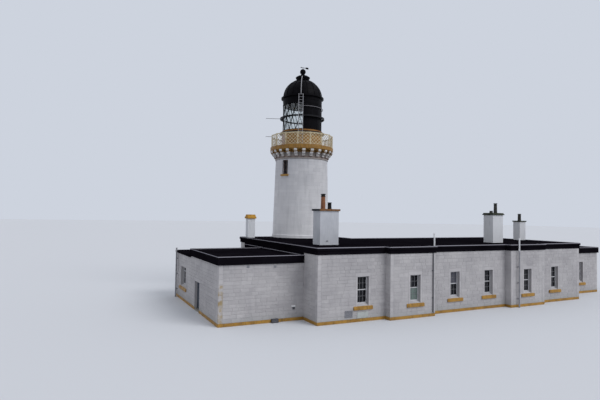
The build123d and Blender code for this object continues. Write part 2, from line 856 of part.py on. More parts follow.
with BuildPart() as link_back_walls:
    slab(0, main_eaves, (main_left, link_right, link_inner_back, link_back))
    cut_for_tower(tower_radius, 0, main_eaves)
    cut_openings(link_places, sash_width, sash_sill, sash_head)
save(link_back_walls, "link_back_walls")

# Floors inside the walls
with BuildPart() as main_floor:
    slab(0, floor_thickness, (inner_left, inner_right, inner_front, inner_back))
    for bay_start in bay_starts:
        slab(
            0, floor_thickness,
            (bay_start + main_wall, bay_start + bay_width - main_wall, bay_face + main_wall, inner_front),
        )
save(main_floor, "main_floor")

with BuildPart() as link_floor:
    slab(0, floor_thickness, (inner_left, link_inner_right, inner_back, link_inner_back))
    cut_for_tower(tower_radius, 0, floor_thickness)
save(link_floor, "link_floor")

# Flat roofs: structural decks on the walls, parted in front of the tower
roof_parting = inner_back
with BuildPart() as main_roof:
    with BuildSketch(Plane.XY.offset(main_eaves)):
        Polygon(*main_outline, align=None)
        rectangle(main_left, link_right, roof_parting, link_back, mode=Mode.SUBTRACT)
    extrude(amount=roof_thickness)
save(main_roof, "main_roof")

with BuildPart() as tower_roof:
    slab(main_eaves, roof_top, (main_left, link_right, roof_parting, link_back))
    cut_for_tower(tower_radius, main_eaves, roof_top)
save(tower_roof, "tower_roof")


def outline_slab(outline, growth, z0, z1, mode=Mode.ADD):
    """A slab with the plan of an outline that is grown or drawn in all round."""
    with BuildSketch(Plane.XY.offset(z0)) as plan:
        Polygon(*outline, align=None)
        if growth:
            offset(amount=growth, kind=Kind.INTERSECTION)
    extrude(plan.sketch, amount=z1 - z0, mode=mode)


# Felted kerb round the roof: an upstand with a projecting cornice over the fascia
with BuildPart() as main_kerb:
    outline_slab(main_outline, kerb_overhang, kerb_top - cornice_height, kerb_top)
    outline_slab(main_outline, fascia_overhang, main_eaves, kerb_top - cornice_height)
    outline_slab(main_outline, -kerb_inset, roof_top, kerb_top, Mode.SUBTRACT)
    outline_slab(main_outline, 0, main_eaves, roof_top, Mode.SUBTRACT)
    cut_for_tower(lambda height: tower_radius(roof_top) + base_course_step, main_eaves, kerb_top)
save(main_kerb, "main_kerb")

# Wings: walls
wing_inner_front = wing_front + wing_wall
wing_inner_back = wing_back - wing_wall
left_inner = left_wing_face + wing_wall
right_inner = right_wing_face - wing_wall
door_near = door_centre_y - door_width / 2
door_far = door_centre_y + door_width / 2
low_start = low_roof_start + kerb_overhang

with BuildPart() as wing_front_walls:
    slab(
        0, wing_eaves,
        (left_wing_face, main_left, wing_front, wing_inner_front),
        (main_right, right_wing_face, wing_front, wing_inner_front),
    )
    cut_openings(slim_places, slim_width, sash_sill, sash_head)
save(wing_front_walls, "wing_front_walls")

with BuildPart() as left_wing_side_walls:
    slab(
        0, wing_eaves,
        (left_wing_face, left_inner, wing_inner_front, door_near),
        (left_wing_face, left_inner, door_far, low_start),
    )
    slab(0, low_roof_eaves, (left_wing_face, left_inner, low_start, wing_inner_back))
    cut_openings([left_side_place], side_window_width, side_window_sill, side_window_head)
save(left_wing_side_walls, "left_wing_side_walls")

with BuildPart() as left_wing_door_head:
    slab(door_height, wing_eaves, (left_wing_face, left_inner, door_near, door_far))
save(left_wing_door_head, "left_wing_door_head")

with BuildPart() as right_wing_side_walls:
    slab(0, wing_eaves, (right_inner, right_wing_face, wing_inner_front, low_start))
    slab(
        0, low_roof_eaves,
        (right_inner, right_wing_face, low_start, wing_inner_back),
        (main_right, main_right + wing_wall, main_back, wing_inner_back),
    )
    cut_openings([right_side_place], side_window_width, side_window_sill, side_window_head)
save(right_wing_side_walls, "right_wing_side_walls")

with BuildPart() as wing_back_walls:
    slab(
        0, low_roof_eaves,
        (left_wing_face, main_left, wing_inner_back, wing_back),
        (main_right, right_wing_face, wing_inner_back, wing_back),
    )
save(wing_back_walls, "wing_back_walls")

with BuildPart() as wing_floors:
    slab(
        0, floor_thickness,
        (left_inner, main_left, wing_inner_front, wing_inner_back),
        (left_wing_face, left_inner, door_near, door_far),
        (main_right, right_inner, wing_inner_front, main_back),
        (main_right + wing_wall, right_inner, main_back, wing_inner_back),
    )
save(wing_floors, "wing_floors")

# Wings: tall front roofs with kerbs, turned up against the block, and low thin-edged roofs behind
wing_outlines = []
low_outlines = []
for x0, x1 in ((left_wing_face, main_left), (main_right, right_wing_face)):
    wing_outlines.append([(x0, wing_front), (x1, wing_front), (x1, low_roof_start), (x0, low_roof_start)])
    low_outlines.append([(x0, low_start), (x1, low_start), (x1, wing_back), (x0, wing_back)])

with BuildPart() as wing_roofs:
    for outline in wing_outlines:
        outline_slab(outline, 0, wing_eaves, wing_roof_top)
    outline_slab(main_outline, 0, wing_eaves, wing_roof_top, Mode.SUBTRACT)
save(wing_roofs, "wing_roofs")

with BuildPart() as wing_kerbs:
    for outline in wing_outlines:
        outline_slab(outline, kerb_overhang, wing_eaves, wing_kerb_top)
    for outline in wing_outlines:
        outline_slab(outline, 0, wing_eaves, wing_roof_top, Mode.SUBTRACT)
        outline_slab(outline, -kerb_inset, wing_roof_top, wing_kerb_top, Mode.SUBTRACT)
    outline_slab(main_outline, 0, wing_eaves, wing_kerb_top, Mode.SUBTRACT)
    slab(
        wing_roof_top, main_eaves,
        (main_left - wall_flashing, main_left, wing_front, low_roof_start),
        (main_right, main_right + wall_flashing, wing_front, low_roof_start),
    )
save(wing_kerbs, "wing_kerbs")

low_roof_top = low_roof_eaves + low_roof_thickness
with BuildPart() as wing_low_roofs:
    for outline in low_outlines:
        outline_slab(outline, kerb_overhang, low_roof_eaves, low_roof_top + low_kerb_height)
    for outline in low_outlines:
        outline_slab(outline, -kerb_inset, low_roof_top, low_roof_top + low_kerb_height, Mode.SUBTRACT)
    for outline in wing_outlines:
        outline_slab(outline, kerb_overhang, low_roof_eaves, wing_kerb_top, Mode.SUBTRACT)
    outline_slab(main_outline, 0, low_roof_eaves, wing_kerb_top, Mode.SUBTRACT)
save(wing_low_roofs, "wing_low_roofs")

# Windows: in each opening a frame with a meeting rail, two panes, a sloping wash and a sill stone
sash_places = front_places + bay_places + back_places + link_places
side_places = [left_side_place, right_side_place]
window_sets = (
    (sash_places, sash_width, sash_sill, sash_head, sash_rail_share),
    (slim_places, slim_width, sash_sill, sash_head, sash_rail_share),
    (side_places, side_window_width, side_window_sill, side_window_head, side_rail_share),
)


def sash_lights(height, rail_share):
    """Foot and head of the lights below and above the meeting rail."""
    rail = height * rail_share
    return (frame_bar, rail - frame_bar / 2), (rail + frame_bar / 2, height - frame_bar)


with BuildPart() as window_frames:
    for places, width, sill, head, rail_share in window_sets:
        height = head - sill - sill_rise
        with Locations(*places):
            with Locations((0, reveal, sill + sill_rise)):
                Box(width, frame_depth, height, align=(Align.CENTER, Align.MIN, Align.MIN))
            for low, high in sash_lights(height, rail_share):
                with Locations((0, reveal, sill + sill_rise + low)):
                    Box(
                        width - 2 * frame_bar, frame_depth, high - low,
                        align=(Align.CENTER, Align.MIN, Align.MIN), mode=Mode.SUBTRACT,
                    )
save(window_frames, "window_frames")

with BuildPart() as window_panes:
    for places, width, sill, head, rail_share in window_sets:
        height = head - sill - sill_rise
        with Locations(*places):
            for low, high in sash_lights(height, rail_share):
                with Locations((0, reveal + frame_depth / 2, sill + sill_rise + low)):
                    Box(
                        width - 2 * frame_bar, pane_thickness, high - low,
                        align=(Align.CENTER, Align.CENTER, Align.MIN),
                    )
save(window_panes, "window_panes")

nose_rise = sill_rise * sill_overhang / (reveal + sill_overhang)
with BuildPart() as window_washes:
    for places, width, sill, head, rail_share in window_sets:
        with BuildSketch(Plane.YZ) as wash:
            Polygon(
                (0, sill), (reveal + frame_depth, sill), (reveal + frame_depth, sill + sill_rise),
                (reveal, sill + sill_rise), (0, sill + nose_rise), align=None,
            )
        for place in places:
            extrude(place * wash.sketch, amount=width / 2, both=True)
save(window_washes, "window_washes")

with BuildPart() as window_sills:
    for places, width, sill, head, rail_share in window_sets:
        with BuildSketch(Plane.YZ) as nose:
            Polygon(
                (-sill_overhang, sill - sill_height), (0, sill - sill_height), (0, sill + nose_rise),
                (-sill_overhang, sill), align=None,
            )
        for place in places:
            extrude(place * nose.sketch, amount=width / 2 + sill_side, both=True)
save(window_sills, "window_sills")

# Doors at the back, closed, each filling its opening behind the reveal
with BuildPart() as back_door_leaves:
    with Locations(*back_door_places):
        with Locations((0, reveal, 0)):
            Box(back_door_width, door_thickness, back_door_height, align=(Align.CENTER, Align.MIN, Align.MIN))
save(back_door_leaves, "back_door_leaves")

# Side door of the left wing: a lining with three butt hinges, and the leaf that turns on them
leaf_width = door_width - 2 * door_lining - 2 * door_gap
leaf_inner_face = left_wing_face + door_reveal + door_lining_depth
hinge_edge = door_far - door_lining - door_gap
hinge_x = leaf_inner_face + hinge_clearance + hinge_radius
leaf_foot = floor_thickness + door_gap
leaf_head = door_height - door_lining - door_gap
with BuildPart() as door_lining_frame:
    slab(
        floor_thickness, door_height,
        (leaf_inner_face - door_lining_depth, leaf_inner_face, door_near, door_far),
    )
    with BuildSketch(Plane.XY.offset(floor_thickness)):
        rectangle(
            leaf_inner_face - 2 * door_lining_depth, leaf_inner_face + door_lining_depth,
            door_near + door_lining, door_far - door_lining,
        )
    extrude(amount=leaf_head + door_gap - floor_thickness, mode=Mode.SUBTRACT)
    for hinge in range(hinge_count):
        hinge_foot = leaf_foot + (hinge + 0.5) * (leaf_head - leaf_foot) / hinge_count - hinge_height / 2
        with BuildSketch(Plane.XY.offset(hinge_foot)):
            with Locations((hinge_x, hinge_edge)):
                Circle(hinge_radius)
            rectangle(
                leaf_inner_face, leaf_inner_face + hinge_plate_thickness,
                hinge_edge + hinge_radius / 2, hinge_edge + door_gap + hinge_plate,
            )
        extrude(amount=hinge_height)
save(door_lining_frame, "door_frame")

with BuildPart() as left_wing_door:
    slab(
        leaf_foot, leaf_head,
        (leaf_inner_face - door_thickness, leaf_inner_face, hinge_edge - leaf_width, hinge_edge),
    )
save(left_wing_door, "left_wing_door")

# Chimneys: stacks on the roof, weathered caps in one or two tiers, tapered pots with collars
with BuildPart() as chimney_stacks:
    for x, y, width, depth, top, cap, lip in chimneys:
        slab(roof_top, top, (x - width / 2, x + width / 2, y - depth / 2, y + depth / 2))
save(chimney_stacks, "chimney_stacks")

with BuildPart() as chimney_caps:
    for x, y, width, depth, top, cap, lip in chimneys:
        low_tier = cap if cap < 2 * lip else cap * cap_tier
        with BuildSketch(Plane.XY.offset(top)):
            rectangle(x - width / 2 - lip, x + width / 2 + lip, y - depth / 2 - lip, y + depth / 2 + lip)
        extrude(amount=low_tier)
        if cap > low_tier:
            with BuildSketch(Plane.XY.offset(top + low_tier)):
                rectangle(
                    x - (width + lip) / 2, x + (width + lip) / 2, y - (depth + lip) / 2, y + (depth + lip) / 2,
                )
            extrude(amount=cap - low_tier, taper=cap_taper)
save(chimney_caps, "chimney_caps")

with BuildPart() as chimney_pots:
    for number, along, radius, height in pots:
        x, y, width, depth, top, cap, lip = chimneys[number]
        foot = top + cap
        with BuildSketch(Plane.XZ) as pot_profile:
            Polygon(
                (radius * pot_bore, 0),
                (radius * pot_foot, 0),
                (radius, pot_collar),
                (radius * pot_waist, height - pot_collar),
                (radius, height - pot_collar),
                (radius, height),
                (radius * pot_bore, height),
                align=None,
            )
        seat = Location((x + along, y, foot))
        revolve(seat * pot_profile.sketch, axis=Axis(seat.position, (0, 0, 1)))
save(chimney_pots, "chimney_pots")

# Pipes that rise past the roof edges, held off the walls by brackets
pipe_offset = kerb_overhang + downpipe_radius + door_gap
pipes = [
    (Location((x, face, 0)), head) for x, face, head in zip(downpipe_x, (front_face, bay_face), downpipe_heads)
]
pipes.append((Location((left_wing_face, side_pipe_y, 0), (0, 0, -90)), side_pipe_head))
with BuildPart() as downpipes:
    for place, pipe_head in pipes:
        with Locations(place * Location((0, -pipe_offset, 0))):
            Cylinder(downpipe_radius, pipe_head, align=(Align.CENTER, Align.CENTER, Align.MIN))
        for bracket in range(int(main_eaves / bracket_spacing)):
            with Locations(place * Location((0, 0, (bracket + 0.5) * bracket_spacing))):
                Box(
                    2 * downpipe_radius, pipe_offset, downpipe_radius,
                    align=(Align.CENTER, Align.MAX, Align.MIN),
                )
save(downpipes, "downpipes")
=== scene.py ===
import math
import random
import bmesh
import bpy
from mathutils import Matrix, Vector


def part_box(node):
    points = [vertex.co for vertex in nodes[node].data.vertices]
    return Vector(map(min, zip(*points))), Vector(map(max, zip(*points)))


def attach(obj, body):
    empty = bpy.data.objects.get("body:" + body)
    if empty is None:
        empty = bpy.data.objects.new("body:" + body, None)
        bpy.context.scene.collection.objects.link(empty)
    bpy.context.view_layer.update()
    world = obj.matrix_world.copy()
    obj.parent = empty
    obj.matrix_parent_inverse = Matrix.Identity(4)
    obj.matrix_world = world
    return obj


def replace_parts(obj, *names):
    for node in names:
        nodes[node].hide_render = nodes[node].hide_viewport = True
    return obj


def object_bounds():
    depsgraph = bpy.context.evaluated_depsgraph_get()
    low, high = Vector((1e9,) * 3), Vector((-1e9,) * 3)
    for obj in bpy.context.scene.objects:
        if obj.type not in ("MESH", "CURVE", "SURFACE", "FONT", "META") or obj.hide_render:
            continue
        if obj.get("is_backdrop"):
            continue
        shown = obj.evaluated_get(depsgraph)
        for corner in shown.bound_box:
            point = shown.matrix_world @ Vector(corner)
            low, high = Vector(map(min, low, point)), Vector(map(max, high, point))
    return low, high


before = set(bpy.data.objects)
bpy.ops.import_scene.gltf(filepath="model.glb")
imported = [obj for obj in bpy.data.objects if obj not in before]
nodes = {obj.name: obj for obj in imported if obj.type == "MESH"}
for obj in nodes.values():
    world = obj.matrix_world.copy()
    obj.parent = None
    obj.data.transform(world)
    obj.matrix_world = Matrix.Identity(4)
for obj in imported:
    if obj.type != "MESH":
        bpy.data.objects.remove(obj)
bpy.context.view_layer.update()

# Walls of the keepers' block: squared rubble in courses 200 to 260 mm high, with dressed stones round the
# openings and at the corners. The stones stand about 10 mm proud of their joints, and many coats of masonry
# paint have rounded them. All sizes are in metres.
chance = random.Random(7)
sunk = -0.004  # how far inside a wall each stone or fitting starts, so that no gap shows behind it
eaves, wing_eaves, low_eaves, plinth = 4.26, 3.63, 3.52, 0.2
front_y, bay_y, back_y, link_y = -13.3, -13.8, -3.4, 0.8
left_x, right_x, wing_left_x, wing_right_x = -5.4, 19.61, -10.99, 25.2
wing_front_y, wing_back_y, link_x = -11.43, 0.4, 3.3
front, back, left, right = (0, -1), (0, 1), (-1, 0), (1, 0)
along_x, along_y = (1, 0), (0, 1)

# Openings: width, height of the sill and height of the head. The tower stands in the last one.
sash, slim_sash, wide_sash = (0.85, 0.93, 2.83), (0.52, 0.93, 2.83), (1.7, 1.0, 2.56)
side_doorway, back_doorway, tower_place = (1.3, 0.0, 2.0), (0.95, 0.0, 2.08), (5.1, 0.0, 5.0)

# Each face of the walls: where it starts, which way it runs and faces, its length and height, its openings
# with the distance of their middle along it, and whether its two ends are corners with dressed stones
walls = [
    (left_x, front_y, along_x, front, 5.05, eaves, [(3.3, *sash)], (1, 0)),
    (-0.35, bay_y, along_x, front, 3.75, eaves, [(2.05, *sash)], (1, 1)),
    (3.4, front_y, along_x, front, 7.41, eaves, [(2.3, *sash), (5.62, *sash)], (0, 0)),
    (10.81, bay_y, along_x, front, 3.75, eaves, [(1.82, *sash)], (1, 1)),
    (14.56, front_y, along_x, front, 5.05, eaves, [(1.94, *sash)], (0, 1)),
    (-0.35, bay_y, along_y, left, 0.5, eaves, [], (0, 0)),
    (3.4, bay_y, along_y, right, 0.5, eaves, [], (0, 0)),
    (10.81, bay_y, along_y, left, 0.5, eaves, [], (0, 0)),
    (14.56, bay_y, along_y, right, 0.5, eaves, [], (0, 0)),
    (left_x, front_y, along_y, left, 1.87, eaves, [], (1, 0)),
    (right_x, front_y, along_y, right, 1.87, eaves, [], (1, 0)),
    (link_x, back_y, along_x, back, 16.31, eaves, [
        (4.9, *sash), (8.1, *sash), (12.3, *sash), (2.3, *back_doorway), (14.7, *back_doorway),
    ], (0, 0)),
    (link_x, back_y, along_y, right, 4.2, eaves, [], (0, 1)),
    (left_x, link_y, along_x, back, 8.7, eaves, [(1.3, *sash), (5.4, *tower_place)], (1, 1)),
    (wing_left_x, wing_front_y, along_x, front, 5.59, wing_eaves, [], (1, 0)),
    (right_x, wing_front_y, along_x, front, 5.59, wing_eaves, [(3.24, *slim_sash)], (0, 1)),
    (wing_left_x, wing_front_y, along_y, left, 11.83, low_eaves, [
        (5.03, *side_doorway), (9.33, *wide_sash),
    ], (1, 1)),
    (wing_right_x, wing_front_y, along_y, right, 11.83, low_eaves, [(9.33, *wide_sash)], (1, 1)),
    (wing_left_x, wing_back_y, along_x, back, 5.59, low_eaves, [], (1, 0)),
    (right_x, wing_back_y, along_x, back, 5.59, low_eaves, [], (1, 1)),
    (right_x, back_y, along_y, left, 3.8, low_eaves, [], (0, 1)),
]


def flat_wall(x, y, along, out):
    """A function for the points of a flat wall: distance along it, height, and how far it stands out."""
    origin = Vector((x, y, 0))
    along = Vector((*along, 0))
    out = Vector((*out, 0))

    def point(a, z, proud):
        return origin + along * a + out * proud + Vector((0, 0, z))

    return point


def block(parts, place, a0, a1, z0, z1, back, face, edge=0.0, columns=1, skin=0):
    """A closed block on a wall, from back to face, with sloping edges and the columns its curve needs."""
    points, faces, skins = parts
    first = len(points)
    for column in range(columns + 1):
        share = column / columns
        a = a0 + (a1 - a0) * share
        near = a0 + edge + (a1 - a0 - 2 * edge) * share
        points += [place(a, z0, back), place(near, z0 + edge, face)]
        points += [place(near, z1 - edge, face), place(a, z1, back)]
    for column in range(columns):
        low = first + 4 * column
        faces += [(low + i, low + (i + 1) % 4, low + 4 + (i + 1) % 4, low + 4 + i) for i in range(4)]
    faces += [(first, first + 1, first + 2, first + 3), tuple(first + 4 * columns + i for i in (3, 2, 1, 0))]
    skins += [skin] * (4 * columns + 2)


def lay_courses(parts, place, length, foot, head, gaps, course, stone, joints, proud, edge, bend=0.0):
    """Courses of stones over a wall, split where they meet its gaps (a0, a1, z0, z1). Courses have a height
    and stones a length between two limits, and joints are upright and level. On a curve, a stone has a column
    for each length of bend."""
    z = foot
    while z < head - 0.03:
        rise = chance.uniform(*course)
        top = head if head - z < 1.5 * course[1] else z + rise
        met = [gap for gap in gaps if gap[2] < top and gap[3] > z]
        cuts = sorted({0.0, length, *[a for gap in met for a in gap[:2] if 0 < a < length]})
        for a0, a1 in zip(cuts, cuts[1:]):
            here = [(z, top)]
            for gap_start, gap_end, gap_foot, gap_head in gaps:
                if gap_start < (a0 + a1) / 2 < gap_end:
                    free = ((z, gap_foot), (gap_head, top))
                    here = [(max(low, s0), min(high, s1)) for low, high in here for s0, s1 in free]
            for low, high in here:
                if high - low < 2.5 * edge + joints[1]:
                    continue
                a = a0
                while a < a1 - 1e-6:
                    end = a + chance.uniform(*stone)
                    end = a1 if a1 - end < stone[0] else end
                    columns = max(1, math.ceil((end - a) / bend)) if bend else 1
                    under, over, side = (joints[i] / 2 * chance.uniform(0.4, 1.3) for i in (1, 1, 0))
                    block(
                        parts, place, a + side, end - side, low + under, high - over, sunk,
                        proud * chance.uniform(0.6, 1.3), edge, columns,
                    )
                    a = end
        z = top


# Dressed stones: their width beside an opening, over it and at a corner, how far they stand out, the slope at
# their edges, and half the joint between two of them
margin, lintel, quoin = 0.15, 0.24, 0.26
dressed_face, dressed_edge, half_joint = 0.012, 0.005, 0.003
rubble = ([], [], [])
dressings = ([], [], [])
plinths = ([], [], [])
for x, y, along, out, length, height, openings, corners in walls:
    place = flat_wall(x, y, along, out)
    gaps = []
    for middle, width, sill, head in openings:
        a0, a1 = middle - width / 2, middle + width / 2
        if head > height:
            gaps.append((a0, a1, sill, head))
            continue
        gaps.append((a0 - margin, a1 + margin, sill - 0.01 if sill else 0.0, head + lintel))
        block(dressings, place, a0 - margin, a1 + margin, head, head + lintel, sunk, dressed_face, 0.006)
        foot = sill
        while foot < head - 0.01:
            top = head if head - foot < 0.7 else foot + chance.uniform(0.35, 0.55)
            for low, high in ((a0 - margin, a0), (a1, a1 + margin)):
                block(
                    dressings, place, low, high, foot + half_joint, top - half_joint, sunk, dressed_face,
                    dressed_edge,
                )
            foot = top
    for end, at in zip(corners, (0, length - quoin)):
        if end:
            gaps.append((at, at + quoin, 0.0, height))
            foot = plinth
            while foot < height - 0.01:
                top = height if height - foot < 0.6 else foot + chance.uniform(0.28, 0.4)
                block(
                    dressings, place, at, at + quoin, foot + half_joint, top - half_joint, sunk, dressed_face,
                    dressed_edge,
                )
                foot = top
    lay_courses(
        rubble, place, length, plinth, height, gaps, (0.2, 0.26), (0.32, 0.75), (0.006, 0.02), 0.011, 0.009,
    )
    doors = [(m - w / 2, m + w / 2) for m, w, sill, head in openings if sill == 0.0]
    ends = sorted([0.0, length, *[a for door in doors for a in door]])
    for a0, a1 in zip(ends[::2], ends[1::2]):
        block(plinths, place, a0, a1, 0.0, plinth, sunk, 0.02, 0.006)


def linear(code):
    """An sRGB hex colour as a linear one."""
    values = [int(code[i:i + 2], 16) / 255 for i in (1, 3, 5)]
    return (*[v / 12.92 if v <= 0.04045 else ((v + 0.055) / 1.055) ** 2.4 for v in values], 1.0)


def add(tree, kind, inputs=None, **settings):
    """A node with its settings, and a link, a hex colour or a plain value for each of the named inputs."""
    made = tree.nodes.new("ShaderNode" + kind)
    for name, value in settings.items():
        setattr(made, name, value)
    for name, value in (inputs or {}).items():
        if isinstance(value, bpy.types.NodeSocket):
            tree.links.new(value, made.inputs[name])
        elif isinstance(value, str):
            made.inputs[name].default_value = linear(value)
        else:
            made.inputs[name].default_value = value
    return made


def two_tone(tree, value, low, high, first, second, most=1.0):
    """The first colour where a value is low, and the second one, or most of it, where the value is high."""
    share = add(tree, "MapRange", {"Value": value, "From Min": low, "From Max": high, "To Max": most})
    return add(tree, "Mix", {0: share.outputs[0], 6: first, 7: second}, data_type="RGBA").outputs[2]


def start(name, roughness, ior, level, *patterns):
    """A new material: itself, its node tree, its shader, the place of each point in metres, and its patterns
    of noise. Each of them has its cells per metre, its detail and perhaps a stretch along the three axes."""
    material = bpy.data.materials.new(name)
    material.use_nodes = True
    tree = material.node_tree
    shader = tree.nodes["Principled BSDF"]
    shader.inputs["Roughness"].default_value = roughness
    shader.inputs["IOR"].default_value = ior
    shader.inputs["Specular IOR Level"].default_value = level
    place = add(tree, "TexCoord").outputs["Object"]
    drawn = []
    for cells, detail, *stretch in patterns:
        spread = place
        if stretch:
            spread = add(tree, "Mapping", {"Vector": place, "Scale": stretch[0]}).outputs[0]
        drawn.append(add(tree, "TexNoise", {"Vector": spread, "Scale": cells, "Detail": detail}).outputs[0])
    return material, tree, shader, place, *drawn


def cover(tree, shader, colour, *layers):
    """Gives a shader its colour and its layers of bumps, each a height, a depth in metres and a strength."""
    tree.links.new(colour, shader.inputs["Base Color"])
    normal = None
    for height, depth, strength in layers:
        inputs = {"Height": height, "Distance": depth, "Strength": strength}
        if normal:
            inputs["Normal"] = normal
        normal = add(tree, "Bump", inputs).outputs[0]
    tree.links.new(normal, shader.inputs["Normal"])


def masonry_paint(name, clean, grey, lump_depth, stain=None, fresh=None):
    """Masonry paint, rolled on in many coats. It gives a matt, slightly chalky white in soft patches, with
    faint grey streaks where rain runs down and a greyer foot. A fresh colour shows up to 5 m and fades out
    by 10 m, where the tower is painted more often."""
    # Patches 1.4 m wide, streaks 240 mm wide and 2 m high, and lumps of 140 mm. The grain is 2 mm wide in
    # truth, too fine to show, and is drawn 17 mm wide
    material, tree, shader, place, patches, streaks, grain, lumps = start(
        name, 0.85, 1.46, 0.3, (0.7, 6), (1.4, 5, (3, 3, 0.35)), (60, 4), (7, 3),
    )
    axes = add(tree, "SeparateXYZ", {0: place}).outputs
    stone = add(tree, "NewGeometry").outputs["Random Per Island"]
    colour = two_tone(tree, patches, 0.35, 0.68, grey, clean)
    if fresh:
        colour = two_tone(tree, axes[2], 5.0, 10.0, fresh, colour)
    each_stone = add(tree, "Mix", {0: stone, 6: "#7A7A80", 7: "#D8D7D8"}, data_type="RGBA").outputs[2]
    colour = add(tree, "Mix", {0: 0.1, 6: colour, 7: each_stone}, data_type="RGBA").outputs[2]
    colour = two_tone(tree, streaks, 0.5, 0.75, colour, "#7F8084", 0.2)
    uneven_height = add(tree, "Math", {0: patches, 1: 0.6, 2: axes[2]}, operation="MULTIPLY_ADD").outputs[0]
    colour = two_tone(tree, uneven_height, 0.35, 0.9, "#9A9A9A", colour)
    if stain:
        low, high, stain_colour = stain
        spots = add(tree, "TexNoise", {"Vector": place, "Scale": 3.0, "Detail": 5.0}).outputs[0]
        inside = add(tree, "MapRange", {"Value": spots, "From Min": 0.4, "From Max": 0.62}).outputs[0]
        for axis in range(3):
            for end, far in ((low[axis], 0.12), (high[axis], -0.12)):
                ramp = add(tree, "MapRange", {"Value": axes[axis], "From Min": end, "From Max": end + far})
                inside = add(tree, "Math", {0: inside, 1: ramp.outputs[0]}, operation="MULTIPLY").outputs[0]
        colour = add(tree, "Mix", {0: inside, 6: colour, 7: stain_colour}, data_type="RGBA").outputs[2]
    cover(tree, shader, colour, (grain, 0.003, 0.6), (lumps, lump_depth, 0.8))
    return material


def piece(name, parts, materials, body="building", smooth=False):
    """A new piece from its points, faces and materials, riding on a body."""
    points, faces, skins = parts
    data = bpy.data.meshes.new(name)
    data.from_pydata(points, [], faces)
    for material in materials:
        data.materials.append(material)
    for polygon, skin in zip(data.polygons, skins):
        polygon.material_index = skin
        polygon.use_smooth = smooth
    mesh = bmesh.new()
    mesh.from_mesh(data)
    bmesh.ops.recalc_face_normals(mesh, faces=mesh.faces)
    mesh.to_mesh(data)
    mesh.free()
    made = bpy.data.objects.new(name, data)
    bpy.context.scene.collection.objects.link(made)
    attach(made, body)
    return made


def paint(material, *names):
    """Gives a material to CAD nodes, in place of the plain one."""
    for name in names:
        data = nodes[name].data
        data.materials.clear()
        data.materials.append(material)


# Rust and algae on the left wing's front corner, up to 2.5 m: the box that holds them, and their colour
corner_stain = (
    (wing_left_x - 0.2, wing_front_y - 0.2, -0.1), (wing_left_x + 0.32, wing_front_y + 0.1, 2.5), "#94825F",
)
stone_paint = masonry_paint("white_painted_rubble", "#AEABAC", "#9F9C9E", 0.022, corner_stain)
margin_paint = masonry_paint("white_painted_dressed_stone", "#B2AFB0", "#A6A3A5", 0.006, corner_stain)
joint_paint = masonry_paint("painted_joints", "#ACA9AA", "#9C999B", 0.012, corner_stain)
piece("wall_rubble", rubble, [stone_paint])
piece("wall_dressings", dressings, [margin_paint])
paint(
    joint_paint, "front_walls", "bay_front_walls", "bay_side_walls", "end_walls", "back_wall",
    "link_side_wall", "link_back_walls", "wing_front_walls", "left_wing_side_walls", "left_wing_door_head",
    "right_wing_side_walls", "wing_back_walls",
)
paint(margin_paint, "window_washes")

# Plinth, sills, gallery landing and lantern wall: dressed stone under ochre oil paint, brushed on in thick
# coats. The plinth is a low course along the foot of all walls, 20 mm proud of them.


def oil_paint(name, clean, worn, run):
    """Oil paint brushed over stone. It gives a warm, slightly glossy coat with worn places, and darker runs
    where rain drips from its edges."""
    # Worn places 450 mm wide, and runs 80 mm wide and 600 mm high. Brush marks of 1 mm are drawn 25 mm wide
    material, tree, shader, _, coat, runs, marks = start(
        name, 0.5, 1.48, 0.35, (2.2, 7), (2, 4, (6, 6, 0.8)), (40, 5),
    )
    colour = two_tone(tree, coat, 0.4, 0.68, clean, worn)
    colour = two_tone(tree, runs, 0.56, 0.75, colour, run)
    cover(tree, shader, colour, (marks, 0.002, 0.5), (coat, 0.01, 0.4))
    return material


ochre_paint = oil_paint("ochre_oil_paint", "#A37B35", "#87642C", "#64502F")
piece("painted_plinth", plinths, [ochre_paint])
paint(ochre_paint, "window_sills", "tower_window_sill")
paint(oil_paint("landing_ochre_paint", "#8E6829", "#795623", "#5A4423"), "gallery_deck")
paint(oil_paint("pale_ochre_paint", "#A1773A", "#8F6A35", "#785B36"), "lantern_base_wall")

# Tower shaft: long stones dressed to the curve and the taper, laid in courses about 300 mm high and painted
# white like the walls. At the back, where no roof meets the shaft, they reach down to the plinth.
unrolled = 2.5  # the radius at which distances round the shaft are measured
shaft_foot, shaft_head, yard_head = 4.99, 11.59, 4.66
coursing = ((0.27, 0.33), (0.6, 1.1), (0.006, 0.014), 0.008, 0.007, 0.19)


def tower_radius(z):
    """The radius of the tapering shaft at a height."""
    return 2.67 - z / 36


def shaft_wall(a, z, proud):
    """A point of the shaft's face, from its distance round."""
    radius = tower_radius(z) + proud
    return Vector((radius * math.cos(a / unrolled), radius * math.sin(a / unrolled), z))


tower_stones = ([], [], [])
window_turn = math.radians(206)
window_along = window_turn * unrolled
margin_end, opening_end = 0.43, 0.32  # from the window's middle to the two sides of its margin
window_gap = (window_along - margin_end, window_along + margin_end, 10.07, 11.58)
round_length = 2 * math.pi * unrolled
lay_courses(tower_stones, shaft_wall, round_length, shaft_foot, shaft_head, [window_gap], *coursing)
yard_start, yard_end = math.radians(21) * unrolled, math.radians(159) * unrolled


def yard_wall(a, z, proud):
    """A point of the shaft's face at the back, from its distance round."""
    return shaft_wall(yard_start + a, z, proud)


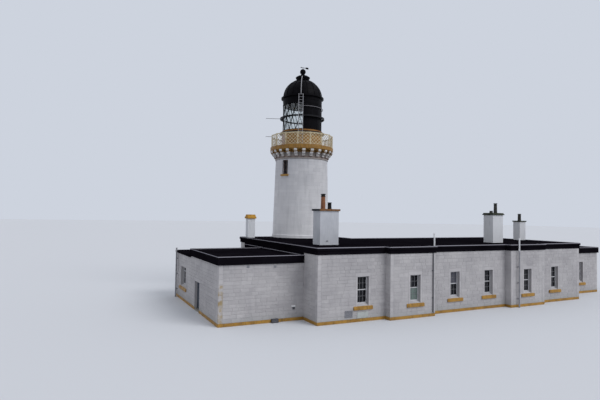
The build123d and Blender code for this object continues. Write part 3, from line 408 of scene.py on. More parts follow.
lay_courses(tower_stones, yard_wall, yard_end - yard_start, plinth, yard_head, [], *coursing)
tower_paint = masonry_paint(
    "white_painted_tower_stone", "#C4C3C6", "#B8B8BC", 0.01, fresh="#DEDDE0",
)
piece("tower_stones", tower_stones, [tower_paint])
window_margin = ([], [], [])
for low, high in ((-margin_end, -opening_end), (opening_end, margin_end)):
    for foot in (10.08, 10.58, 11.08):
        block(
            window_margin, shaft_wall, window_along + low, window_along + high, foot, foot + 0.494, sunk,
            dressed_face, dressed_edge,
        )
piece("tower_window_margin", window_margin, [tower_paint])
paint(
    masonry_paint("painted_tower_joints", "#BDBCC0", "#B1B0B5", 0.008, fresh="#D6D5D8"),
    "tower_wall_front", "tower_wall_left_front", "tower_wall_left_back", "tower_wall_back",
    "tower_wall_right_back", "tower_wall_right_front", "tower_door_jambs",
)

# Floors inside: sawn flagstones of 900 by 600 mm, bedded with joints 8 mm wide and left bare. Feet have
# polished them, so they show as a dull, even grey-brown with paler worn places 110 mm wide.
flagstone, tree, shader, place, wear = start("worn_flagstone", 0.7, 1.52, 0.5, (9, 6))
flags = add(tree, "TexBrick", {
    "Vector": place, "Scale": 1.0, "Brick Width": 0.9, "Row Height": 0.6, "Mortar Size": 0.008,
    "Color1": "#6E6A63", "Color2": "#807B72", "Mortar": "#4B4843",
}, offset=0.5).outputs["Color"]
cover(tree, shader, two_tone(tree, wear, 0.3, 0.8, flags, "#8B867C"), (wear, 0.004, 0.5))
paint(flagstone, "tower_floors", "main_floor", "link_floor", "wing_floors")

# Flat roofs, kerbs and fascias: black bitumen felt, torched down in sheets 920 mm wide with laps of 80 mm and
# dressed over the kerbs, where a grey aluminium trim holds its edge. Its mineral grit makes it quite matt.
# Dried ponds are 2 m wide. The grit of 1 mm is drawn 6 mm wide
felt_black, tree, shader, place, ponds, grit = start(
    "mineral_bitumen_felt", 0.95, 1.5, 0.0, (0.5, 5), (160, 3),
)
axes = add(tree, "SeparateXYZ", {0: place}).outputs
colour = two_tone(tree, ponds, 0.35, 0.7, "#0A080C", "#121015")
colour = two_tone(tree, grit, 0.5, 0.8, colour, "#1D1B21")
# The trims are on upright faces only, above 4.66 m on the main kerb and from 4.10 to 4.14 m on the wings
normal = add(tree, "NewGeometry").outputs["True Normal"]
facing = add(tree, "SeparateXYZ", {0: normal}).outputs
tilt = add(tree, "Math", {0: facing[2]}, operation="ABSOLUTE").outputs[0]
upright, main_trim, over_foot, under_head = (
    add(tree, "MapRange", {"Value": value, "From Min": low, "From Max": high}).outputs[0]
    for value, low, high in (
        (tilt, 0.5, 0.3), (axes[2], 4.658, 4.66), (axes[2], 4.098, 4.1), (axes[2], 4.142, 4.14),
    )
)
wing_trim = add(tree, "Math", {0: over_foot, 1: under_head}, operation="MULTIPLY").outputs[0]
trims = add(tree, "Math", {0: main_trim, 1: wing_trim}, operation="ADD").outputs[0]
trims = add(tree, "Math", {0: upright, 1: trims}, operation="MULTIPLY").outputs[0]
colour = add(tree, "Mix", {0: trims, 6: colour, 7: "#8A8890"}, data_type="RGBA").outputs[2]
cover(tree, shader, colour, (grit, 0.002, 0.6), (ponds, 0.02, 0.3))
paint(felt_black, "main_roof", "tower_roof", "main_kerb", "wing_roofs", "wing_kerbs", "wing_low_roofs")

sheet_width, lap, thickness, steps = 0.92, 0.08, 0.002, 6
main_roof_z, wing_roof_z, low_roof_y, tower_clear = 4.68, 4.05, -4.7, 2.58
felt_sheets = ([], [], [])


def lay_felt(x0, x1, y0, y1, z, tower=False):
    """Sheets of felt over a flat roof, each with one edge lapped on the last, and stopped at the tower."""
    points, faces, skins = felt_sheets
    count = math.ceil((x1 - x0) / sheet_width)
    for number in range(count):
        low = x0 + (x1 - x0) * number / count
        high = min(x1, x0 + (x1 - x0) * (number + 1) / count + lap)
        for step in range(steps):
            a0, a1 = (low + (high - low) * (step + i) / steps for i in (0, 1))
            near = min(abs(a0), abs(a1))
            stop = -math.sqrt(tower_clear ** 2 - near ** 2) if tower and near < 2.45 else y1
            lift0, lift1 = (thickness + 0.004 * (step + i) / steps for i in (0, 1))
            first = len(points)
            for a, lift in ((a0, lift0), (a1, lift1)):
                for y, h in ((y0, -thickness), (stop, -thickness), (stop, lift), (y0, lift)):
                    points.append(Vector((a, y, z + h)))
            faces.extend(tuple(first + i for i in corner) for corner in (
                (0, 1, 2, 3), (7, 6, 5, 4), (0, 4, 5, 1), (1, 5, 6, 2), (2, 6, 7, 3), (3, 7, 4, 0),
            ))
            skins.extend([0] * 6)


lay_felt(left_x + 0.1, link_x, -13.2, link_y - 0.1, main_roof_z, True)
lay_felt(link_x, right_x - 0.1, -13.2, back_y - 0.1, main_roof_z)
lay_felt(wing_left_x + 0.1, left_x - 0.04, wing_front_y + 0.1, low_roof_y, wing_roof_z)
lay_felt(right_x + 0.04, wing_right_x - 0.1, wing_front_y + 0.1, low_roof_y, wing_roof_z)
piece("felt_sheets", felt_sheets, [felt_black])
upstands = ([], [], [])
for x, out, y0, y1 in ((left_x, left, -4.62, -0.2), (right_x, right, -4.62, back_y)):
    block(upstands, flat_wall(x, 0, along_y, out), y0, y1, 3.68, 4.26, sunk, 0.016, 0.006)
piece("felt_upstands", upstands, [felt_black])

# Corbel table: carved stone corbels built into the head of the shaft, painted white, with painted shade, a
# darker colour, in the hollows between them, under a scalloped band in the landing's ochre. A wavy
# reddish-brown line runs along them near 11.86 m.


def distance_out(tree, axes):
    """How far each point is from the tower's axis."""
    squares = [add(tree, "Math", {0: axes[i], 1: axes[i]}, operation="MULTIPLY").outputs[0] for i in (0, 1)]
    total = add(tree, "Math", {0: squares[0], 1: squares[1]}, operation="ADD").outputs[0]
    return add(tree, "Math", {0: total}, operation="SQRT").outputs[0]


# Painted stone, a little less matt than the walls, in two colours that weather has dulled
# Soot lies in patches of 330 mm, and the wavy line wanders over 400 mm. Brush marks of 1 mm are drawn 20 mm
# wide
corbel_paint, tree, shader, place, soot, waves, marks = start(
    "white_and_ochre_painted_corbels", 0.7, 1.46, 0.3, (3, 6), (2.5, 5), (50, 5),
)
axes = add(tree, "SeparateXYZ", {0: place}).outputs
reach = distance_out(tree, axes)
white = two_tone(tree, soot, 0.35, 0.7, "#CFCDCD", "#A9A6A3")
# Painted shade: the shaft behind and between the corbels is given a darker colour
painted_hollow_shade = two_tone(tree, reach, 2.42, 2.6, "#8C8581", white)
ochre = two_tone(tree, soot, 0.4, 0.7, "#8E692F", "#6F5429")
scallops = two_tone(tree, reach, 2.775, 2.79, ochre, white)
colour = two_tone(tree, axes[2], 12.165, 12.175, painted_hollow_shade, scallops)
# A wavy reddish-brown line along the corbels near 11.86 m
wavy_line_height = add(tree, "Math", {0: axes[2], 1: 11.86}, operation="SUBTRACT").outputs[0]
wavy_line_height = add(tree, "Math", {0: waves, 1: 0.16, 2: wavy_line_height}, operation="MULTIPLY_ADD").outputs[0]
off_line = add(tree, "Math", {0: wavy_line_height}, operation="ABSOLUTE").outputs[0]
colour = two_tone(tree, off_line, 0.06, 0.02, colour, "#7A5A50", 0.5)
cover(tree, shader, colour, (marks, 0.003, 0.5))
paint(corbel_paint, "gallery_corbels")

# Gallery railing: wrought-iron posts leaded into the landing, with riveted lattice panels and a round rail on
# top, all painted cream. The iron rods that stand out from it and from the lantern's ledge are painted grey.


def brushed_metal_paint(name, clean, worn, roughness, level=0.4):
    """Oil paint brushed on iron, steel or joinery. It gives a dull sheen, with darker places 250 mm wide
    where the coat is thin. Brush marks of 1 mm are drawn 11 mm wide."""
    material, tree, shader, _, thin, marks = start(name, roughness, 1.5, level, (4, 8), (90, 3))
    cover(tree, shader, two_tone(tree, thin, 0.5, 0.72, clean, worn), (marks, 0.001, 0.5))
    return material


cream_iron = brushed_metal_paint("cream_painted_iron", "#BFB294", "#988361", 0.5)
paint(cream_iron, "gallery_lattice", "gallery_posts")


def tube(parts, path, radius, sides=8, closed=False):
    """A round bar along a path of points, with its ends closed unless it is a ring."""
    points, faces, skins = parts
    first = len(points)
    count = len(path)
    for i, here in enumerate(path):
        before = path[i - 1] if i or closed else here
        after = path[(i + 1) % count] if i < count - 1 or closed else here
        ahead = (after - before).normalized()
        side = ahead.cross(Vector((0, 0, 1)) if abs(ahead.z) < 0.9 else Vector((1, 0, 0))).normalized()
        up = side.cross(ahead)
        for k in range(sides):
            turn = 2 * math.pi * k / sides
            points.append(here + (side * math.cos(turn) + up * math.sin(turn)) * radius)
    for i in range(count if closed else count - 1):
        low, high = first + sides * i, first + sides * ((i + 1) % count)
        faces.extend((low + k, low + (k + 1) % sides, high + (k + 1) % sides, high + k) for k in range(sides))
    if not closed:
        faces.append(tuple(first + k for k in range(sides)))
        faces.append(tuple(first + sides * (count - 1) + k for k in reversed(range(sides))))
    skins.extend([0] * (len(faces) - len(skins)))


def round_point(radius, turn, z):
    """A point round the tower's axis, from its turn in degrees."""
    return Vector((radius * math.cos(math.radians(turn)), radius * math.sin(math.radians(turn)), z))


deck_z, railing_top, railing_radius, post_count = 12.79, 13.83, 2.8, 16
post_turns = [22.5 * k + 11.25 for k in range(post_count)]
railing = ([], [], [])
rail_z = railing_top + 0.008
tube(railing, [round_point(railing_radius, turn, rail_z) for turn in post_turns], 0.026, closed=True)
for turn in post_turns:
    for foot, head, radius in (
        (railing_top - 0.01, railing_top + 0.05, 0.036), (deck_z, deck_z + 0.05, 0.05),
    ):
        tube(railing, [round_point(railing_radius, turn, z) for z in (foot, head)], radius)
piece("gallery_handrail", railing, [cream_iron], smooth=True)
paint(brushed_metal_paint("grey_painted_iron", "#8B898C", "#6C665F", 0.5), "side_rods")

# Door in the lantern wall: a curved leaf of sheet iron under pinkish-grey oil paint, hung on two strap hinges
# between two jambs that are bolted to the wall, with a bent pull handle.
door_start, door_end = 158, 188  # degrees round the tower's axis
foot_door = ([], [], [])


def lantern_wall(a, z, proud):
    """A point of the lantern's wall, from a turn in degrees."""
    return round_point(1.83 + proud, a, z)


block(foot_door, lantern_wall, door_start, door_end, deck_z + 0.04, 13.98, sunk, 0.014, 0.004, 8)
for low, high in ((door_start - 2.5, door_start - 0.5), (door_end + 0.5, door_end + 2.5)):
    block(foot_door, lantern_wall, low, high, deck_z + 0.02, 14.0, sunk, 0.028, 0.004, 1)
for z in (deck_z + 0.2, 13.7):
    block(foot_door, lantern_wall, door_start, 176, z, z + 0.05, sunk, 0.024, 0.002, 5)
pull = [round_point(radius, turn, 13.3) for radius, turn in ((1.86, 185), (1.89, 185), (1.89, 181))]
tube(foot_door, pull, 0.009)
pink_iron = brushed_metal_paint("pinkish_grey_painted_iron", "#A58F92", "#8A7475", 0.55)
piece("lantern_wall_door", foot_door, [pink_iron])

# Lantern: cast-iron astragals and plates, bolted together under a ribbed dome of sheet copper and painted
# black. The plates are white inside, to throw the light back.


def lantern_paint(name, inner_radius=None):
    """Oil paint brushed on metal: a deep black with hardly any shine, a little greyer in places 250 mm wide.
    Inside the given radius it is white. Brush marks of 1 mm are drawn 11 mm wide."""
    material, tree, shader, place, thin, marks = start(name, 0.5, 1.5, 0.05, (4, 8), (90, 3))
    colour = two_tone(tree, thin, 0.5, 0.72, "#070609", "#0F0E13")
    if inner_radius:
        reach = distance_out(tree, add(tree, "SeparateXYZ", {0: place}).outputs)
        colour = two_tone(tree, reach, inner_radius, inner_radius + 0.002, "#DADAD8", colour)
    cover(tree, shader, colour, (marks, 0.001, 0.5), (thin, 0.004, 0.3))
    return material


lantern_black = lantern_paint("black_painted_metal")
paint(lantern_black, "lantern_dome", "ventilator", "wind_vane", "lantern_frame")
paint(lantern_paint("black_and_white_painted_plate", 1.74), "lantern_blank_panels", "lantern_top_ring")

# Cover strips over the joints of the lantern's plates: flat iron bars with bolt heads, and rings of flat bar
# at the foot, at the head and round the plates under the dome, all riveted on and painted with them.
plate_foot, plate_head = 14.3, 16.64
fillets = ([], [], [])


def lantern_face(a, z, proud):
    """A point of the lantern's face, from a turn in degrees."""
    return round_point(1.78 + proud, a, z)


for bay in range(8):
    turn = 247.5 + 22.5 * bay
    block(fillets, lantern_face, turn - 1.1, turn + 1.1, plate_foot, plate_head, sunk, 0.01, 0.003)
    for z in (14.42, 14.8, 15.2, 15.75, 16.15, 16.52):
        block(fillets, lantern_face, turn - 0.5, turn + 0.5, z - 0.016, z + 0.016, 0.006, 0.022, 0.005)
for low, high in ((plate_foot, 14.36), (16.58, plate_head)):
    block(fillets, lantern_face, 248.7, 403.9, low, high, sunk, 0.008, 0.003, 36)
for low, high in ((16.66, 16.72), (16.96, 16.99), (17.22, 17.28)):
    for half in (0, 180):
        block(fillets, lantern_face, half, half + 180, low, high, sunk, 0.012, 0.004, 32)
piece("lantern_cover_strips", fillets, [lantern_black])

# Bosses where the astragals cross, of iron and cast with the bars, and the two welts of the dome's lower
# sheets, which were folded over and beaten flat. Both are painted black with the lantern.
dome_foot, dome_radius = 17.33, 1.78
bosses = ([], [], [])
for bay in range(10):
    turn = 45 + 22.5 * bay
    for z in (14.31, 16.63):
        tube(bosses, [round_point(radius, turn, z) for radius in (1.75, 1.79)], 0.042)
    if bay < 9:
        tube(bosses, [round_point(radius, turn + 11.25, 15.47) for radius in (1.72, 1.79)], 0.05)
for height in (0.62, 1.2):
    radius = math.sqrt(dome_radius ** 2 - height ** 2) + 0.004
    tube(bosses, [round_point(radius, 7.5 * k, dome_foot + height) for k in range(48)], 0.014, closed=True)
piece("lantern_bosses", bosses, [lantern_black], smooth=True)

# Ledge and rail round the lantern: a cast ledge on bracket plates at mid height of the glass, painted black,
# and a thin steel rail, bolted higher up on the blank plates and painted grey.


def two_paints(name, level, patterns, spread, split, depth, lower, upper):
    """Brushed oil paint with a low sheen, in one pair of tones below a height and in another above it. The
    patterns are its thin places, and brush marks of 1 mm that are drawn coarser so that they show."""
    material, tree, shader, place, thin, marks = start(name, 0.5, 1.5, level, *patterns)
    axes = add(tree, "SeparateXYZ", {0: place}).outputs
    below, above = (two_tone(tree, thin, *spread, *pair) for pair in (lower, upper))
    cover(tree, shader, two_tone(tree, axes[2], *split, below, above), (marks, depth, 0.5))
    return material


# Thin places 200 mm wide, and brush marks drawn 11 mm wide
rail_paint = two_paints(
    "black_ledge_and_grey_rail_paint", 0.15, ((5, 6), (90, 3)), (0.45, 0.7), (16.0, 16.1), 0.001,
    ("#0C0B0F", "#1A191E"), ("#6E6C70", "#6E6C70"),
)
paint(rail_paint, "lantern_rails")

# Sill under the glass: a cast-iron ring with a ledge, bolted on the lantern's wall. Below 14.125 m, at the
# ledge's outer edge, it is near-black, and above it brown. Thin places are 330 mm wide, and brush marks drawn
# 17 mm wide.
sill_paint = two_paints(
    "brown_and_black_sill_paint", 0.25, ((3, 6), (60, 5)), (0.4, 0.7), (14.125, 14.13), 0.002,
    ("#1D1613", "#2B201A"), ("#8F632C", "#734B22"),
)
paint(sill_paint, "lantern_sill")

# Glass of the lantern: polished plate, puttied into the astragals. It is clear with a faint green tint, and a
# little paler in patches 400 mm wide where salt has dried on it. It waves over 670 mm.
pane_glass, tree, shader, _, salt, waves = start("clear_lantern_glass", 0.02, 1.45, 0.3, (2.5, 6), (1.5, 2))
shader.inputs["Transmission Weight"].default_value = 1.0
cover(tree, shader, two_tone(tree, salt, 0.45, 0.8, "#F2F5F5", "#DCE4E3"), (waves, 0.002, 0.3))
paint(pane_glass, "lantern_glass")

# Ladder and dome rail: welded steel bar, bolted to the landing and the dome, under dull pale grey paint that
# has worn through to darker primer in places.
bar_paint = brushed_metal_paint("pale_grey_painted_steel", "#96969A", "#7B7976", 0.55, 0.3)
paint(bar_paint, "lantern_ladder", "dome_rail")

# Windows: softwood sashes in white paint, most with six panes over six, with bars 20 mm wide. Drawn glass is
# puttied in, so that each pane lies at a slightly different angle and mirrors another part of the sky.
joinery_paint = brushed_metal_paint("white_painted_joinery", "#BABABD", "#A3A2A3", 0.5)
paint(joinery_paint, "window_frames")


def still_glass(name, deep, pale):
    """Drawn window glass, opaque, with its colour painted in: near-black is painted shade for the dim room
    behind it. It has a faint change of depth over 560 mm, and is smooth enough to mirror the sky, in waves
    330 mm wide."""
    material, tree, shader, _, depth, waves = start(name, 0.08, 1.5, 0.2, (1.8, 3), (3, 2))
    cover(tree, shader, two_tone(tree, depth, 0.35, 0.7, deep, pale), (waves, 0.003, 0.3))
    return material


def leaning(place, lean, z0, z1):
    """A wall's points, leaning out by a small distance between two heights."""

    def point(a, z, proud):
        return place(a, z, proud + lean * (z - z0) / (z1 - z0))

    return point


# Behind two of the upper sashes a blind is drawn, and one lower sash has pale film on its glass
# Bare panes are near-black: painted shade of the dim rooms behind the opaque glass
glass_skins = [
    still_glass("dark_window_glass", "#0B0C10", "#16181E"),
    still_glass("glass_over_blind", "#4A4A52", "#5A5A62"),
    still_glass("glass_over_film", "#62706C", "#74827C"),
]
bare, blind, film = 0, 1, 2

# Each window: the middle of its foot, which way its wall runs and faces, its opening, and the glass of its
# upper and its lower sash
windows = [
    (-2.1, front_y, along_x, front, sash, bare, bare), (5.7, front_y, along_x, front, sash, blind, bare),
    (9.02, front_y, along_x, front, sash, bare, bare), (16.5, front_y, along_x, front, sash, bare, bare),
    (1.7, bay_y, along_x, front, sash, bare, film), (12.63, bay_y, along_x, front, sash, bare, bare),
    (8.2, back_y, along_x, back, sash, bare, bare), (11.4, back_y, along_x, back, sash, bare, bare),
    (15.6, back_y, along_x, back, sash, blind, bare), (-4.1, link_y, along_x, back, sash, bare, bare),
    (22.85, wing_front_y, along_x, front, slim_sash, bare, bare),
    (wing_left_x, -2.1, along_y, left, wide_sash, bare, bare),
    (wing_right_x, -2.1, along_y, right, wide_sash, bare, bare),
]
sill_rise, frame_bar, half_bar, glass_back, glass_depth, bar_face = 0.18, 0.06, 0.01, -0.262, 0.005, -0.232
bars = ([], [], [])
panes = ([], [], [])
for x, y, along, out, (width, sill, head), upper_skin, lower_skin in windows:
    place = flat_wall(x, y, along, out)
    height = head - sill - sill_rise
    share = 0.74 if width > 1 else 0.5
    columns = 2 if width < 0.6 else 3
    half = width / 2 - frame_bar
    lights = (
        (frame_bar, height * share - frame_bar / 2, lower_skin),
        (height * share + frame_bar / 2, height - frame_bar, upper_skin),
    )
    for low, high, skin in lights:
        rows = 1 if high - low < 0.4 else 2
        z0, z1 = sill + sill_rise + low, sill + sill_rise + high
        for i in range(1, columns):
            a = -half + 2 * half * i / columns
            block(bars, place, a - half_bar, a + half_bar, z0, z1, glass_back, bar_face, 0.005)
        for i in range(1, rows):
            z = z0 + (z1 - z0) * i / rows
            block(bars, place, -half, half, z - half_bar, z + half_bar, glass_back, bar_face - 0.002, 0.005)
        for i in range(columns):
            for j in range(rows):
                lean = chance.uniform(-0.002, 0.002)
                a0, a1 = (-half + 2 * half * (i + k) / columns for k in (0, 1))
                low_z, high_z = (z0 + (z1 - z0) * (j + k) / rows for k in (0, 1))
                block(
                    panes, leaning(place, lean, low_z, high_z), a0, a1, low_z, high_z, glass_back,
                    glass_back + glass_depth, 0.0, 1, skin,
                )
# The bars are white-painted like the frames; their grey colour is painted shade
shaded_bar_paint = brushed_metal_paint("white_bars_in_painted_shade", "#86868A", "#6E6E72", 0.5)
piece("glazing_bars", bars, [shaded_bar_paint])
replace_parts(piece("sash_panes", panes, glass_skins), "window_panes")

# Window of the tower: a softwood casement in brown stain, wedged into the shaft, with two level bars and one
# upright bar 30 mm wide in front of the same glass.
brown_joinery = brushed_metal_paint("brown_stained_joinery", "#6A5A55", "#54453F", 0.55)
paint(brown_joinery, "tower_window_frame")
paint(glass_skins[bare], "tower_window_glass")
window_out = tower_radius(10.24) - 0.22
tower_bar = 0.015
tower_bars = ([], [], [])


def tower_window(a, z, proud):
    """A point of the tower window's plane."""
    out = Vector((math.cos(window_turn), math.sin(window_turn), 0))
    return out * (window_out + proud) + Vector((-out.y, out.x, 0)) * a + Vector((0, 0, z))


for z in (10.63, 11.07):
    block(tower_bars, tower_window, -0.26, 0.26, z - tower_bar, z + tower_bar, -0.04, -0.01, 0.006)
block(tower_bars, tower_window, -tower_bar, tower_bar, 10.3, 11.45, -0.04, -0.008, 0.006)
piece("tower_window_bars", tower_bars, [brown_joinery])

# Doors: upright softwood boards about 140 mm wide with bevelled edges, nailed to three ledges behind them, in
# slate-blue gloss that has dulled. The side door turns on its hinges, and the two at the back are shut.
board_width, leaf_depth, ledge_height = 0.14, 0.06, 0.15
door_paint = brushed_metal_paint("slate_blue_painted_boards", "#4B525D", "#3D434C", 0.45)
paint(brushed_metal_paint("slate_blue_painted_frame", "#565D68", "#474D57", 0.45), "door_frame")


def boarded_leaf(parts, place, width, foot, head):
    """A ledged door of upright boards, from its outer face inwards."""
    count = round(width / board_width)
    for board in range(count):
        a0, a1 = width * board / count, width * (board + 1) / count
        block(parts, place, a0, a1, foot, head, -leaf_depth * 0.6, 0.0, 0.006)
    for z in (foot + 0.15, (foot + head) / 2 - 0.1, head - 0.3):
        block(parts, place, 0.08, width - 0.08, z, z + ledge_height, -leaf_depth, -leaf_depth * 0.55)


leaf_low, leaf_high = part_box("left_wing_door")
leaf = ([], [], [])
side_leaf = flat_wall(leaf_low[0], leaf_low[1], along_y, left)
boarded_leaf(leaf, side_leaf, leaf_high[1] - leaf_low[1], leaf_low[2], leaf_high[2])
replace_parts(piece("side_door_boards", leaf, [door_paint], "side_door"), "left_wing_door")
back_leaves = ([], [], [])
door_width, door_foot, door_head = back_doorway
for middle in (5.6, 18.0):
    back_leaf = flat_wall(middle - door_width / 2, back_y - 0.22, along_x, back)
    boarded_leaf(back_leaves, back_leaf, door_width, door_foot, door_head)
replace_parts(piece("back_door_boards", back_leaves, [door_paint]), "back_door_leaves")

# Handle of the side door: a steel lever on a plate that is screwed to the boards, over a keyhole boss. Hands
# have worn the steel to a dull grey shine. Its scratches are finer than 1 mm and are drawn 17 mm wide.
handle = ([], [], [])
lever = [side_leaf(a, 1.08, proud) for a, proud in ((0.08, 0.0), (0.08, 0.045), (0.19, 0.045))]
block(handle, side_leaf, 0.06, 0.1, 0.98, 1.14, -0.002, 0.006, 0.002)
tube(handle, lever, 0.009, 10)
tube(handle, [side_leaf(0.08, 1.02, proud) for proud in (0.0, 0.012)], 0.012, 10)
steel, tree, shader, _, worn = start("worn_steel", 0.35, 1.5, 0.5, (60, 5))
shader.inputs["Metallic"].default_value = 1.0
colour = add(tree, "Mix", {0: worn, 6: "#77767A", 7: "#A09FA2"}, data_type="RGBA").outputs[2]
cover(tree, shader, colour, (worn, 0.0005, 0.4))
piece("side_door_handle", handle, [steel], "side_door", smooth=True)

# Chimney stacks: built of brick, rendered smooth with a float and painted white. The render shows as an even,
# matt face with soft patches and grey runs. The stack over the link is made whiter as painted light against
# the shade it stands in, and those to the right are whiter too.
# Patches 830 mm wide, and runs 80 mm wide and 830 mm high. Sand of 1 mm is drawn 22 mm wide
render_paint, tree, shader, place, patches, runs, sand = start(
    "white_painted_render", 0.85, 1.46, 0.3, (1.2, 6), (3, 4, (4, 4, 0.4)), (45, 5),
)
axes = add(tree, "SeparateXYZ", {0: place}).outputs
colour = two_tone(tree, patches, 0.35, 0.7, "#BCBEC4", "#AFB1B8")
# Painted light: the stack over the link is made whiter against the shade it stands in
colour = two_tone(tree, axes[1], -1.2, -1.0, colour, "#CDCFD4")
colour = two_tone(tree, axes[0], 5.0, 5.2, colour, "#C9CACE")
colour = two_tone(tree, runs, 0.55, 0.75, colour, "#8F9197", 0.35)
cover(tree, shader, colour, (sand, 0.003, 0.5), (patches, 0.02, 0.3))
paint(render_paint, "chimney_stacks")

# Chimney caps: stone slabs bedded on the stacks, all matt. The leftmost is painted ochre, the next brown in
# front and slate-grey elsewhere. Those on the right are bare, with greenish lichen. Tones vary over 200 mm,
# and the stone's grain of 2 mm is drawn 25 mm wide.
cap_stone, tree, shader, place, lichen, grain = start(
    "painted_and_weathered_cap_stone", 0.8, 1.5, 0.2, (5, 6), (40, 5),
)
axes = add(tree, "SeparateXYZ", {0: place}).outputs
normal = add(tree, "NewGeometry").outputs["True Normal"]
facing = add(tree, "SeparateXYZ", {0: normal}).outputs
brown, slate, green, golden = (two_tone(tree, lichen, 0.4, 0.65, *pair) for pair in (
    ("#7A5535", "#5E422B"), ("#23242B", "#33343A"), ("#2C3028", "#45483A"), ("#BD8F3D", "#9A7030"),
))
front_cap = two_tone(tree, facing[1], -0.5, -0.6, slate, brown)
colour = two_tone(tree, axes[0], -4.4, -4.3, golden, front_cap)
colour = two_tone(tree, axes[0], 5.0, 5.1, colour, green)
cover(tree, shader, colour, (grain, 0.004, 0.6))
paint(cap_stone, "chimney_caps")

# Chimney pots: fired clay, thrown with a rolled rim and a bead below it, and set in mortar on the caps. The
# tall one is terracotta with a sooty mouth, the one beside it is black, and those on the right are dark buff.
# The kiln's patches are 250 mm wide. The clay's grain of 1 mm is drawn 25 mm wide
clay, tree, shader, place, fired, grain = start("fired_clay", 0.75, 1.5, 0.3, (4, 6), (40, 5))
axes = add(tree, "SeparateXYZ", {0: place}).outputs
terracotta, black, buff = (two_tone(tree, fired, 0.35, 0.7, *pair) for pair in (
    ("#8C5A3C", "#6B422C"), ("#100F14", "#1E1C20"), ("#3A3A38", "#25241F"),
))
terracotta = two_tone(tree, axes[2], 7.93, 7.95, terracotta, "#1D1614")
colour = two_tone(tree, axes[0], -3.16, -3.15, terracotta, black)
colour = two_tone(tree, axes[0], 5.0, 5.1, colour, buff)
cover(tree, shader, colour, (grain, 0.002, 0.5))
paint(clay, "chimney_pots")
rims = ([], [], [])
for x, y, top, radius in (
    (-3.416, -10.295, 8.14, 0.16), (-2.904, -10.295, 7.57, 0.138), (12.57, -10.825, 7.9, 0.14),
    (18.95, -8.05, 7.12, 0.15),
):
    for drop, grow in ((0.03, 0.012), (0.16, 0.0)):
        middle = Vector((x, y, top - drop))
        ring = [middle + round_point(radius * 0.95 + grow, 15 * k, 0) for k in range(24)]
        tube(rims, ring, 0.016, closed=True)
piece("chimney_pot_rims", rims, [lantern_black], smooth=True)

# Downpipes: cast-iron pipes in lengths of about 1.2 m with collars, screwed to the walls. They are white
# above the eaves and grey below. Thin places are 200 mm wide, and brush marks drawn 12 mm wide.
pipe_paint = two_paints(
    "white_and_grey_painted_pipe", 0.3, ((5, 6), (80, 5)), (0.4, 0.7), (4.2, 4.25), 0.001,
    ("#8A8A8F", "#77777C"), ("#D5D5D8", "#BDBDC0"),
)
paint(pipe_paint, "downpipes")
collars = ([], [], [])
collar_height, collar_shift = 0.05, 0.014  # the collars sit a little nearer to the wall than the pipes
for x, y, top in ((3.62, -13.465 + collar_shift, 5.55), (11.505, -13.965 + collar_shift, 5.2),
                  (-11.155 + collar_shift, -0.18, 3.9)):
    for z in (0.66, 1.86, 3.06, 4.3, top - collar_height):
        if z < top:
            tube(collars, [Vector((x, y, z)), Vector((x, y, z)) + Vector((0, 0, collar_height))], 0.068, 20)
piece("downpipe_collars", collars, [pipe_paint])

# Rainwater pipe on the left bay's front: thin cast iron with a shoe at its foot, held to the wall by two
# sockets with ears. Dark grey oil paint gives it a dull sheen.
thin_pipe = ([], [], [])
pipe_x, pipe_y = 3.19, bay_y - 0.06
pipe_path = [Vector((pipe_x, pipe_y - out, z)) for out, z in ((0.05, 0.22), (0.0, 0.32), (0.0, 4.255))]
tube(thin_pipe, pipe_path, 0.038, 12)
bay_face = flat_wall(0, bay_y, along_x, front)
for z in (1.2, 3.04):
    tube(thin_pipe, [Vector((pipe_x, pipe_y, z)), Vector((pipe_x, pipe_y, z + 0.09))], 0.05, 12)
    block(thin_pipe, bay_face, pipe_x - 0.1, pipe_x + 0.1, z, z + 0.06, sunk, 0.022, 0.003)
dark_iron = brushed_metal_paint("dark_grey_painted_iron", "#5C5C61", "#4A4A4F", 0.55)
piece("bay_rainwater_pipe", thin_pipe, [dark_iron])

# Small fittings on the walls: pressed-metal air bricks and grilles with slats, a hooded vent, a hatch of
# painted board and a meter box, all let into the wall or screwed to it.
fitting_skins = [
    brushed_metal_paint("grey_painted_grille", "#8F9096", "#7F8086", 0.6),
    brushed_metal_paint("dark_grey_painted_metal", "#4A4A50", "#3A3A40", 0.6),
    brushed_metal_paint("pale_painted_board", "#A6AAA8", "#939895", 0.6),
    brushed_metal_paint("white_painted_hood", "#E2E2E4", "#D0D0D2", 0.6),
]
grille_skin, dark_skin, board_skin, hood_skin = range(4)
slat_spacing, slat_height, slat_end = 0.045, 0.016, 0.02
wing_face = flat_wall(0, wing_front_y, along_x, front)
main_face = flat_wall(0, front_y, along_x, front)
stack_face = flat_wall(0, -10.795, along_x, front)
fittings = ([], [], [])
for face, x, z, width, height in (
    (wing_face, -9.18, 3.5, 0.2, 0.14), (wing_face, -7.41, 3.45, 0.2, 0.14),
    (main_face, -3.17, 0.53, 0.6, 0.44), (stack_face, -3.356, 4.95, 0.16, 0.1),
):
    a0, a1 = x - width / 2, x + width / 2
    block(fittings, face, a0, a1, z - height / 2, z + height / 2, sunk, 0.02, 0.004, 1, grille_skin)
    slats = max(2, round(height / slat_spacing))
    for slat in range(slats):
        low = z - height / 2 + (slat + 0.3) * height / slats
        block(
            fittings, face, a0 + slat_end, a1 - slat_end, low, low + slat_height, 0.015, 0.03, 0.003, 1,
            dark_skin,
        )
# Under the hood a dark grey block stands for the vent's hollow: its colour is painted shade
block(fittings, wing_face, -6.17, -6.0, 0.71, 0.87, sunk, 0.04, 0.008, 1, dark_skin)
block(fittings, wing_face, -6.24, -5.98, 0.87, 0.97, sunk, 0.1, 0.02, 1, hood_skin)
block(fittings, main_face, -2.54, -1.71, 0.22, 0.62, sunk, 0.035, 0.006, 1, board_skin)
block(fittings, wing_face, -7.62, -7.18, 0.0, 0.24, sunk, 0.2, 0.006, 1, dark_skin)
piece("wall_fittings", fittings, fitting_skins)

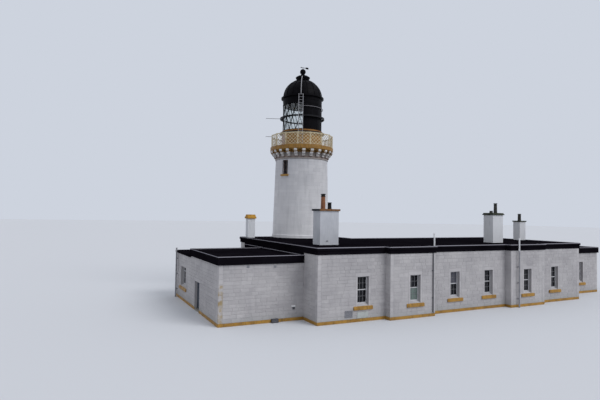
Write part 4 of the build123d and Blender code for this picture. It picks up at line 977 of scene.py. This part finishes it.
# Floor: a plain pale sheet, wide enough to have no edge in sight. It is matt and has no pattern, so that it
# shows only the building's shadow.
extent = 400
floor_data = bpy.data.meshes.new("floor")
floor_data.from_pydata(
    [(x * extent, y * extent, 0) for x, y in ((-1, -1), (1, -1), (1, 1), (-1, 1))], [], [(0, 1, 2, 3)],
)
floor = bpy.data.objects.new("floor", floor_data)
bpy.context.scene.collection.objects.link(floor)
floor.location.z = -0.002
floor_paint, _, shader, _ = start("plain_pale_floor", 0.9, 1.5, 0.05)
shader.inputs["Base Color"].default_value = linear("#C9CBD0")
floor_data.materials.append(floor_paint)
floor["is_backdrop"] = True

# Light: an even overcast sky with a broad, weak sun from the front right, at a level where white paint stays
# below white. Seen directly, mirrored or through glass, the sky is a plain pale blue-grey.
scene = bpy.context.scene
scene.view_settings.view_transform = "Standard"
world = bpy.data.worlds.new("overcast")
scene.world = world
world.use_nodes = True
tree = world.node_tree
sky = tree.nodes["Background"]
sky.inputs["Color"].default_value = linear("#EDF1F8")
sky.inputs["Strength"].default_value = 0.82
seen = add(tree, "LightPath").outputs
direct = seen["Is Camera Ray"]
for ray in ("Is Glossy Ray", "Is Transmission Ray"):
    direct = add(tree, "Math", {0: direct, 1: seen[ray]}, operation="MAXIMUM").outputs[0]
plain = add(tree, "Background", {"Color": "#CDD3DE", "Strength": 1.0})
shown = add(tree, "MixShader", {0: direct, 1: sky.outputs[0], 2: plain.outputs[0]})
tree.links.new(shown.outputs[0], tree.nodes["World Output"].inputs["Surface"])
sun_data = bpy.data.lights.new("sun", "SUN")
sun_data.energy = 1.45
sun_data.angle = math.radians(35)
sun = bpy.data.objects.new("sun", sun_data)
sun.rotation_euler = Vector((-0.45, 0.7, -0.75)).to_track_quat("-Z", "Y").to_euler()
scene.collection.objects.link(sun)

# Camera: where the photograph was taken from, in front and to the left of the building and 6.6 m above the
# floor, looking slightly up and leaning by a degree.
azimuth, pitch, roll = math.radians(-26.328), math.radians(1.905), math.radians(0.91)
ahead = Vector((-math.sin(azimuth) * math.cos(pitch), math.cos(azimuth) * math.cos(pitch), math.sin(pitch)))
level = Vector((math.cos(azimuth), math.sin(azimuth), 0))
upright = level.cross(ahead)
right_hand = level * math.cos(roll) + upright * math.sin(roll)
up = upright * math.cos(roll) - level * math.sin(roll)
camera_data = bpy.data.cameras.new("camera")
camera_data.lens = 27.94
camera_data.sensor_width = 36
camera_data.clip_end = 500
camera = bpy.data.objects.new("camera", camera_data)
turn = Matrix((right_hand, up, -ahead)).transposed()
camera.matrix_world = Matrix.Translation((-18.964, -38.138, 6.641)) @ turn.to_4x4()
scene.collection.objects.link(camera)
scene.camera = camera

low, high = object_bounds()
